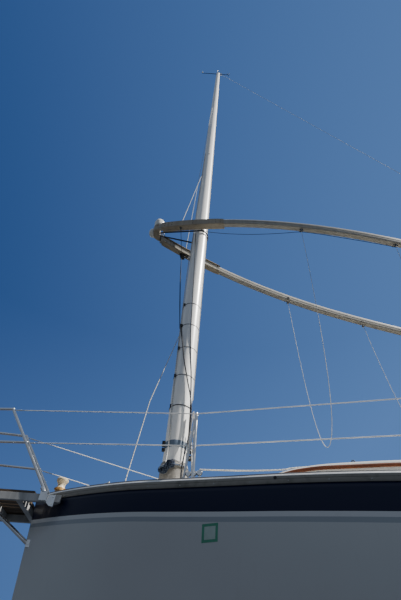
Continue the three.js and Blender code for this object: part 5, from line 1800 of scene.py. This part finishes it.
def make_arms():
    section = [(out * ARM_WIDTH, up * ARM_DEPTH) for out, up in all_round(ARM_QUARTER)]
    stations = spread(0.06, 7.9, 90, 1.15)
    arm = Shape().loft([[boom_point(t, 1, out, up) for out, up in section] for t in stations])
    arm.pair("arm_{}_extrusion", "spar_paint", ARM, body=BOOM, angle=35, replaces="wishbone_arm_{}")
    outer, inner, top, low, wall = 0.0465, -0.056, 0.073, -0.078, 0.0055
    side, turn = outer - wall, outer - wall - 0.004
    rings = []
    for t in spread(0.1, SLEEVE_END, 24, 0.8):
        thin = 0.0045 * max(0, 1 - (SLEEVE_END - t) / 0.09)
        face, roof, floor = outer - thin, top - thin, low + 2 * thin
        channel = (
            (face, floor + 0.006), (face, roof - 0.006), (face - 0.006, roof), (inner, roof),
            (inner, top - wall), (turn, top - wall), (side, top - wall - 0.004), (side, low + wall + 0.004),
            (turn, low + wall), (inner, low + wall), (inner, floor), (face - 0.006, floor),
        )
        rings.append([boom_point(t, 1, out, up) for out, up in channel])
    sleeve = Shape().loft(rings)
    sleeve.pair("arm_sleeve_{}", "spar_paint", CASTING, body=BOOM, bevel=0.0015, angle=35)
    ways = [(out, up) for up in (0.03, -0.034) for out in (outer + 0.001, -ARM_WIDTH / 2 - 0.001)]
    bolts = [boom_point(t, 1, out, up) for t in SLEEVE_BOLTS for out, up in ways]
    stud_pair("sleeve_bolts_{}", bolts, 0.0075, 0.8, finish=BLACK, body=BOOM)


def make_casting(end, start, length, half, roundness):
    """A rounded end piece that holds the two arms together."""
    rings = []
    for share in spread(0, 1, 14, 1.6):
        low = 1 - 0.35 * max(0, 1 - share / 0.12) ** 2
        wide = half * (1 - roundness * (1 - share) ** 2) * (1 - 0.1 * (1 - low))
        middle = between_arms(start + length * share)
        ring = [middle + Vector((0, out * wide, up * 0.15 * low)) for out, up in all_round(CASTING_QUARTER)]
        rings.append(ring)
    Shape().loft(rings).piece(
        f"{end}_casting", "spar_paint", CASTING, body=BOOM, bevel=0.003, angle=35, replaces=f"wishbone_{end}"
    )


def make_boom_ends():
    make_casting("nose", -0.06, 0.119, 0.128, 0.45)
    make_casting("tail", BOOM_RUN + 0.03, -0.129, 0.104, 0.4)
    caps = Shape().lathe(DOME, (NOSE_X - 0.031, 0.062, NOSE_Z + 0.064), (0.05, 0, 1), 40)
    small = [(radius * 0.92, up * 0.62) for radius, up in DOME]
    caps.lathe(small, (NOSE_X + 0.012, -0.048, NOSE_Z + 0.046), (0.95, -0.1, 0.15), 40)
    caps.piece("nose_caps", "spar_paint", CAP, body=BOOM, bevel=0.001)
    eye = Vector((NOSE_X - 0.085, 0, NOSE_Z - 0.045))
    gear = Shape().ring(eye, (0, 1, 0.1), 0.024, 0.006, 32, 12)
    gear.ring(eye + Vector((-0.034, 0.004, -0.014)), (0.3, 0.2, 1), 0.022, 0.0055, 32, 12)
    gear.rod(eye + Vector((0.028, -0.03, 0.004)), eye + Vector((0.028, 0.03, 0.004)), 0.009, 16)
    gear.piece("nose_shackles", "stainless", STEEL, body=BOOM)
    ring = Shape().ring(between_arms(BOOM_RUN + 0.025, 0.09), (0, 1, 0), 0.02, 0.005, 32, 12)
    ring.piece("topping_lift_eye", "stainless", STEEL, body=BOOM)


# Running lines, taut ones first

ARM_FITTINGS = (
    # t, side
    (2.2, 1), (2.28, -1), (3.42, 1), (3.48, -1), (5.2, 1), (5.2, -1),
)
CHOKER_Z = 5.74
CHOKER_OUT = 0.022
CHOKER_RADIUS = 0.0085
CONTROL_T = 0.42
SIDE_BLOCKS = ((3.29, 0.745), (3.248, 0.77), (3.207, 0.792))
FOOT_BLOCKS = ((3.36, 0.155, 0.045), (3.27, 0.15, 0.045), (3.17, 0.165, 0.05), (3.1, 0.1, 0.045))


def pulley(shape, centre, axis, size, mark=0):
    """A small pulley block: two cheeks, a sheave and its pin."""
    axis = Vector(axis).normalized()
    centre = Vector(centre)
    cheek = [(size * 0.92, -0.08 * size), (size, 0), (size * 0.92, 0.08 * size)]
    sheave = [(size * 0.72, -0.26 * size), (size * 0.6, 0), (size * 0.72, 0.26 * size)]
    for side in (-1, 1):
        shape.turned(cheek, centre + axis * side * size * 0.34, axis, 20, mark)
    shape.turned(sheave, centre, axis, 20, mark + 1)
    shape.rod(centre - axis * size * 0.5, centre + axis * size * 0.5, size * 0.2, 10, mark + 1)


def make_choker():
    centre, reach = mast_axis(CHOKER_Z), mast_radius(CHOKER_Z) + CHOKER_OUT
    lines = []
    for lift in (-CHOKER_RADIUS, CHOKER_RADIUS):
        turn = []
        for t in spread(radians(70), radians(290), 30):
            turn.append(centre + MAST_AXIS * lift + Vector((cos(t), sin(t), 0)) * reach)
        start, end = (Vector((4.05, y, 5.752 + lift * 0.5)) for y in (0.03, -0.03))
        lines.append([start, *turn, end])
    tubes("choker_line", lines, CHOKER_RADIUS, DARK_LINE, sides=12, body=BOOM, replaces="choker")
    knot = Shape()
    for k in range(5):
        t = radians(96 + 5.4 * k)
        middle = centre + Vector((cos(t), sin(t), 0)) * (reach + 0.013) + MAST_AXIS * 0.003 * (k % 2)
        knot.ring(middle, (sin(t), -cos(t), 0.2), 0.0157, 0.0058, 20, 10)
    knot.piece("choker_knot", "line", DARK_LINE, body=BOOM)


def make_arm_fittings():
    gear = Shape()
    for t, side in ARM_FITTINGS:
        gear.block(boom_point(t, side, -ARM_WIDTH / 2, -0.035), (0.02, 0.008, 0.022))
        gear.ring(below_arm(t, side, 0.012), (1, 0, 0), 0.012, 0.004, 24, 8, 1)
        pulley(gear, below_arm(t, side, 0.036, 0.012), (0, 1, 0), 0.026 if side > 0 else 0.019)
    middle = below_arm(0.46, -1, 0.045)
    pulley(gear, middle, (0, 1, 0), 0.046)
    gear.box(middle + Vector((-0.036, -0.022, -0.075)), middle + Vector((0.03, 0.022, -0.026)))
    gear.box(middle + Vector((-0.03, -0.03, 0.02)), middle + Vector((0.046, 0.03, 0.048)))
    pulley(gear, middle + Vector((-0.085, 0.0, -0.03)), (0, 1, 0), 0.03)
    pulley(gear, below_arm(CONTROL_T, 1, 0.018), (0.3, 1, 0), 0.024)
    gear.piece("arm_fittings", "stainless", BLACK, STEEL, body=BOOM, bevel=0.002)


def beside_mast(*places):
    """Points beside the mast, each a height, degrees round it and a distance out."""
    return [on_mast(*place) for place in places]


def make_taut_lines():
    head, tail = at_masthead(-0.125, 0, -0.012), between_arms(BOOM_RUN + 0.025, 0.108)
    tubes("topping_lift", [[head, head.lerp(tail, 0.5), tail]], 0.0045, WIRE, sides=8, body=BOOM)
    forward = beside_mast(
        (9.1, 40, 0.01), (7.6, 33, 0.009), (6.7, 29, 0.008), (6.15, 26, 0.007), (5.74, 23, 0.005),
        (5.38, 18, 0.008), (4.97, 12, 0.014), (3.9, 18, 0.01), (3.0, 32, 0.009), (2.5, 40, 0.008),
        (2.1, 52, 0.008), (1.9, 55, 0.012), (1.765, 59, 0.036),
    )
    tubes("halyard_white", [curve_through(forward, 6)], 0.0058, WHITE_LINE)
    slack = beside_mast(
        (3.64, 22, 0.012), (3.45, 44, 0.012), (3.22, 66, 0.013), (2.99, 84, 0.014), (2.74, 108, 0.016)
    )
    slack += [
        (3.312, 0.124, 2.42), (3.308, 0.128, 2.11), (3.33, 0.15, 1.92), (3.348, 0.168, 1.78),
        (3.356, 0.172, 1.64), (3.352, 0.176, 1.44),
    ]
    tubes("halyard_slack", [curve_through(slack, 6)], 0.0072, DARK_LINE)
    dark = beside_mast(
        (5.73, 52, 0.005), (5.2, 68, 0.005), (4.67, 80, 0.005), (3.9, 94, 0.005), (3.5, 101, 0.005),
        (3.17, 113, 0.005), (2.8, 134, 0.005), (2.45, 149, 0.005), (2.2, 156, 0.005), (1.97, 160, 0.005),
    )
    tubes("halyard_dark", [curve_through(dark, 6)], 0.0046, DARK_LINE, sides=8)
    falls = (
        ((3.286, 0.105, 2.33), (3.31, 0.11, 1.95), (3.326, 0.115, 1.69), (3.334, 0.118, 1.455)),
        ((3.28, 0.118, 2.33), (3.262, 0.12, 2.03), (3.244, 0.122, 1.74), (3.236, 0.124, 1.455)),
        ((3.29, 0.09, 2.12), (3.276, 0.092, 1.93), (3.262, 0.094, 1.74), (3.256, 0.096, 1.455)),
    )
    tubes("mast_falls", [curve_through(fall, 6) for fall in falls], 0.0058, WHITE_LINE)
    tack = [on_mast(3.46, 12, 0.004), (3.749, 0.12, 2.42), on_deck(3.868, 0.14, 0.02)]
    tubes("tack_line", [tack], 0.0046, WHITE_LINE)
    high = [
        [on_mast(12.35, 62, 0.012), on_mast(11.5, 60, 0.05), below_arm(0.5, -1, -0.135)],
        [on_mast(8.0, 40, 0.012), below_arm(CONTROL_T, 1, -0.132)],
    ]
    tubes("upper_control_lines", high, 0.0042, WHITE_LINE, sides=8, body=BOOM)
    drop = below_arm(0.44, -1, 0.07)
    lower = []
    for degrees, ahead in ((-4, 0.012), (8, 0.002)):
        end = on_mast(3.61, degrees, 0.012)
        lower.append(curve_through([drop, drop.lerp(end, 0.5) + Vector((ahead, 0, 0)), end], 6))
    tubes("lower_control_lines", lower, 0.004, DARK_LINE, sides=8, body=BOOM)
    snotter = [below_arm(CONTROL_T, 1, 0.03), below_arm(0.44, -1, 0.02)]
    tubes("snotter_line", [snotter], 0.0042, DARK_LINE, sides=8, body=BOOM)


def deck_eye(shape, floor, up, radius, pad):
    """A post on a round pad, for a pulley block."""
    shape.rod(floor, floor + UP * up, radius, 12, 1)
    shape.lathe([(0, -0.002), (pad, -0.002), (pad, 0.004), (0, 0.006)], floor, count=20, mark=1)


def make_deck_lines():
    gear = Shape()
    for x, y in SIDE_BLOCKS:
        floor, middle = on_deck(x, y), on_deck(x, y, 0.08)
        deck_eye(gear, floor, 0.06, 0.007, 0.02)
        pulley(gear, middle, (0.2, 1, 0.1), 0.0205, 1)
        gear.ring(middle, (0.2, 1, 0.1), 0.0185, 0.0048, 24, 10)
    gear.both()
    for x, y, up in FOOT_BLOCKS:
        pulley(gear, on_deck(x, y, up), (0.15, 1, 0), 0.034)
        deck_eye(gear, on_deck(x, y), up, 0.006, 0.022)
    gear.piece("mast_foot_blocks", "stainless", BLACK, STEEL, bevel=0.001)
    middle = on_mast(1.935, 160, 0.034)
    fall = Shape()
    pulley(fall, middle, (0, 1, 0), 0.03)
    pulley(fall, middle - UP * 0.075, (0, 1, 0), 0.026)
    fall.ring(on_mast(5.705, 53, 0.004), (0, 0, 1), 0.007, 0.0025, 16, 8, 1)
    fall.piece("mast_side_blocks", "stainless", BLACK, WHITE_PLASTIC, bevel=0.001)
    lines = []
    for y, far in ((0.17, 0.34), (0.13, 0.27)):
        points = [on_deck(3.13, y, 0.06), on_deck(2.8, y, 0.17) + Vector((0, 0.02, 0))]
        for s in (2.3, 3.0, 3.8, 4.6, 5.3):
            points.append((BOW_X - s, between(y, far, (s - 1.6) / 3.6), roof_top(s, far) + 0.016))
        lines.append(curve_through(points, 5))
    tubes("roof_lines", lines, 0.0055, WHITE_LINE)
    lead = [on_deck(*SIDE_BLOCKS[-1], 0.106), (2.86, 0.765, 1.447), (2.56, 0.745, 1.485)]
    for s, y in ((2.15, 0.725), (2.6, 0.72), (3.4, 0.73), (4.6, 0.74), (5.5, 0.7), (5.78, 0.66)):
        lead.append(on_roof(BOW_X - s, y, 0.009))
    tubes("side_leads", both_sides(curve_through(lead, 6)), 0.0052, WHITE_LINE)
    eye = on_roof(2.01, 0.8)
    clutch = Shape().block(eye + UP * 0.003, (0.022, 0.009, 0.007))
    clutch.ring(eye + UP * 0.012, (0, 1, 0), 0.012, 0.004, 16, 8).both()
    for y in (0.27, 0.34):
        floor = roof_top(5.42, y)
        clutch.box((BOW_X - 5.52, y - 0.018, floor - 0.008), (BOW_X - 5.32, y + 0.018, floor + 0.042))
        clutch.box((BOW_X - 5.5, y - 0.012, floor + 0.04), (BOW_X - 5.38, y + 0.012, floor + 0.06))
    clutch.piece("rope_clutches", "boot_cloth", BLACK, bevel=0.004, angle=30)


# Slack lines, drawn hanging or coiled

BIGHT_STEPS = 26
HANK_RUN = 0.042
HANK_FOLD = 0.0205
HANK_PITCH = 0.0062
HANK_LAPS = 12
HANK_LAYERS = (0, 1, 2, 3, 3, 2, 1, 0, 0, 1, 2, 3)


def slack_line(name, points, thick, body, finish):
    path = curve_through(points, 3)
    piece = tubes(name, [path], thick / 2, finish, sides=8, body=body)
    long = sum((b - a).length for a, b in zip(path, path[1:]))


def bight(first, last, depth):
    """A line hung in a loop between two eyes: a catenary of a given depth below their middle."""
    span = Vector((last.x - first.x, last.y - first.y, 0)).length
    low, high = 0.01, 400.0
    for _ in range(80):
        middle = (low + high) / 2
        if cosh(min(300, middle * span / 2)) / middle - 1 / middle > depth:
            high = middle
        else:
            low = middle
    curve = (low + high) / 2
    drop = (cosh(curve * span / 2) - 1) / curve
    points = []
    for k in range(BIGHT_STEPS + 1):
        reach = span / 2 * sin(pi * (k / BIGHT_STEPS - 0.5))
        sag = (cosh(curve * reach) - 1) / curve - drop
        points.append(first.lerp(last, reach / span + 0.5) + UP * sag)
    return points


def make_slack_lines():
    first = bight(below_arm(2.2, 1, 0.02), below_arm(2.28, -1, 0.02), 2.92)
    slack_line("lazy_line_fore", first, 0.0062, BOOM, WHITE_LINE)
    second = bight(below_arm(3.42, 1, 0.02), below_arm(3.48, -1, 0.02), 2.62)
    slack_line("lazy_line_aft", second, 0.0062, BOOM, WHITE_LINE)
    knot = mast_axis(CHOKER_Z) + Vector((-0.028, 0.13, -0.004))
    eye = below_arm(2.2, 1, 0.062)
    under = []
    for share, sag in ((0, 0), (0.12, 35), (0.25, 62), (0.4, 78), (0.55, 78), (0.7, 60), (0.85, 32), (1, 0)):
        under.append(knot.lerp(eye, share) - UP * sag / 1000)
    for t, sag in ((2.45, 0.062), (2.72, 0.072), (2.98, 0.072), (3.22, 0.064), (3.42, 0.06)):
        under.append(below_arm(t, 1, sag))
    slack_line("clew_line", under, 0.008, BOOM, DARK_LINE)


def make_hank():
    """Blue line made up in a hank, wrapped round its middle and hung against the mast boot."""
    centre = on_mast(1.715, 68, 0.052)
    along = (on_mast(1.765, 90, 0.05) - on_mast(1.675, 46, 0.05)).normalized()
    out = Vector((cos(radians(68)), sin(radians(68)), 0))
    across = out.cross(along).normalized()

    def at(x, y, z):
        return centre + along * x + across * y + out * z

    points = [on_mast(1.752, 132, 0.01), on_mast(1.766, 126, 0.026), at(0.104, 0, -0.046)]
    points += [at(0.098, 0.019, -0.024), at(0.076, 0.028, -0.006)]
    for k in range(HANK_LAPS * 20 + 2):
        quarter, share = divmod(k % 20 / 5, 1)
        now, later = min(k // 20, HANK_LAPS - 1), min(k // 20 + 1, HANK_LAPS - 1)
        swap = smooth_step(share) if quarter == 3 else 0
        layer = between(HANK_LAYERS[now], HANK_LAYERS[later], swap)
        nest = between(now // 4, later // 4, swap)
        fold = HANK_FOLD + HANK_PITCH * nest
        if quarter % 2:
            x, y = -HANK_RUN - fold * sin(pi * share), fold * cos(pi * share)
        else:
            x = HANK_RUN * (1 - 2 * share)
            y = between(HANK_PITCH * (nest + 0.5), fold, smooth_step(abs(x) / HANK_RUN))
        flip = -1 if quarter > 1 else 1
        shift = 0.005 * (1.5 - layer)
        x, y = x * flip - shift, y * flip + shift
        points.append(at(x, y, HANK_PITCH * (1.5 - layer)))
    turn, heading = radians(-38), 0
    for k in range(72):
        heading = min(1.52, heading + 0.2)
        x -= 0.006 * cos(heading)
        turn += 0.006 * sin(heading) / 0.0225
        grow = min(1, 0.78 + 0.03 * k)
        points.append(at(x, grow * 0.026 * cos(turn), grow * 0.019 * sin(turn)))
    slack_line("mast_hank", points, 0.0052, "boat", BLUE_LINE)


# Stage and light

FLOOR_HALF = 160
FLOOR_COLOUR = (0.34, 0.356, 0.372)
SUN_FROM = Vector((-0.62, 0.1, 0.76))
SUN_STRENGTH = 10.0
BACKDROP_LOW = (0.1, 0.21, 0.49)
BACKDROP_HIGH = (0.026, 0.074, 0.235)
SOFT_LIGHT = (0.62, 0.73, 0.92)


def make_stage():
    floor = Shape().box((-FLOOR_HALF, -FLOOR_HALF, -0.02), (FLOOR_HALF, FLOOR_HALF, 0.0))
    mesh = bpy.data.meshes.new("floor")
    mesh.from_pydata(floor.points, [], floor.faces)
    stage = linked(bpy.data.objects.new("floor", mesh))
    finish = Finish("pale_floor", FLOOR_COLOUR, 0.6)
    finish.link("Roughness", 0.6 + finish.noise(1.5, 2) * 0.05)
    mesh.materials.append(finish.material)
    stage.visible_diffuse = False
    stage.visible_glossy = False


def make_light():
    sun = linked(bpy.data.objects.new("sun", bpy.data.lights.new("sun", "SUN")))
    sun.data.energy = SUN_STRENGTH
    sun.data.color = (1.0, 0.965, 0.9)
    sun.data.angle = radians(1.2)
    sun.matrix_world = SUN_FROM.to_track_quat("Z", "Y").to_matrix().to_4x4()
    world = bpy.data.worlds.new("soft_light")
    bpy.context.scene.world = world
    world.use_nodes = True
    nodes = Nodes(world.node_tree)
    world.node_tree.nodes.clear()
    seen = nodes.add("ShaderNodeLightPath")["Is Camera Ray"]
    x, _, z = nodes.axes(nodes.add("ShaderNodeTexCoord")["Generated"])
    strength = 0.15 + z.above(0.1, 0.6) * 0.24
    soft = nodes.add("ShaderNodeBackground", {}, {"Color": SOFT_LIGHT, "Strength": strength})[0]
    paler = x.above(0.0, 1.1) * -0.95 + (1 - z.above(0.45, 0.4)) * 0.45 + 0.92
    colour = nodes.mixed(paler, BACKDROP_HIGH, BACKDROP_LOW)
    backdrop = nodes.add("ShaderNodeBackground", {}, {"Color": colour, "Strength": 1.0})[0]
    mixed = nodes.add("ShaderNodeMixShader", {}, {0: seen, 1: soft, 2: backdrop})[0]
    nodes.add("ShaderNodeOutputWorld", {}, {"Surface": mixed})


for make in (
    make_slack_lines, make_hank, make_hull, make_toe_rails, make_sticker, make_deck, make_trunk,
    make_windows, make_eyebrows, make_roof, make_hatches, make_cockpit, make_steering, make_keel_and_rudder,
    make_propeller, make_platform, make_pulpit, make_anchor_gear, make_guard_rails, make_stern_rail,
    make_sheet_track, make_winches, make_cleats_and_vents, make_mast, make_mast_boot, make_masthead,
    make_arms, make_boom_ends, make_choker, make_arm_fittings, make_taut_lines, make_deck_lines, make_stage,
    make_light,
):
    make()
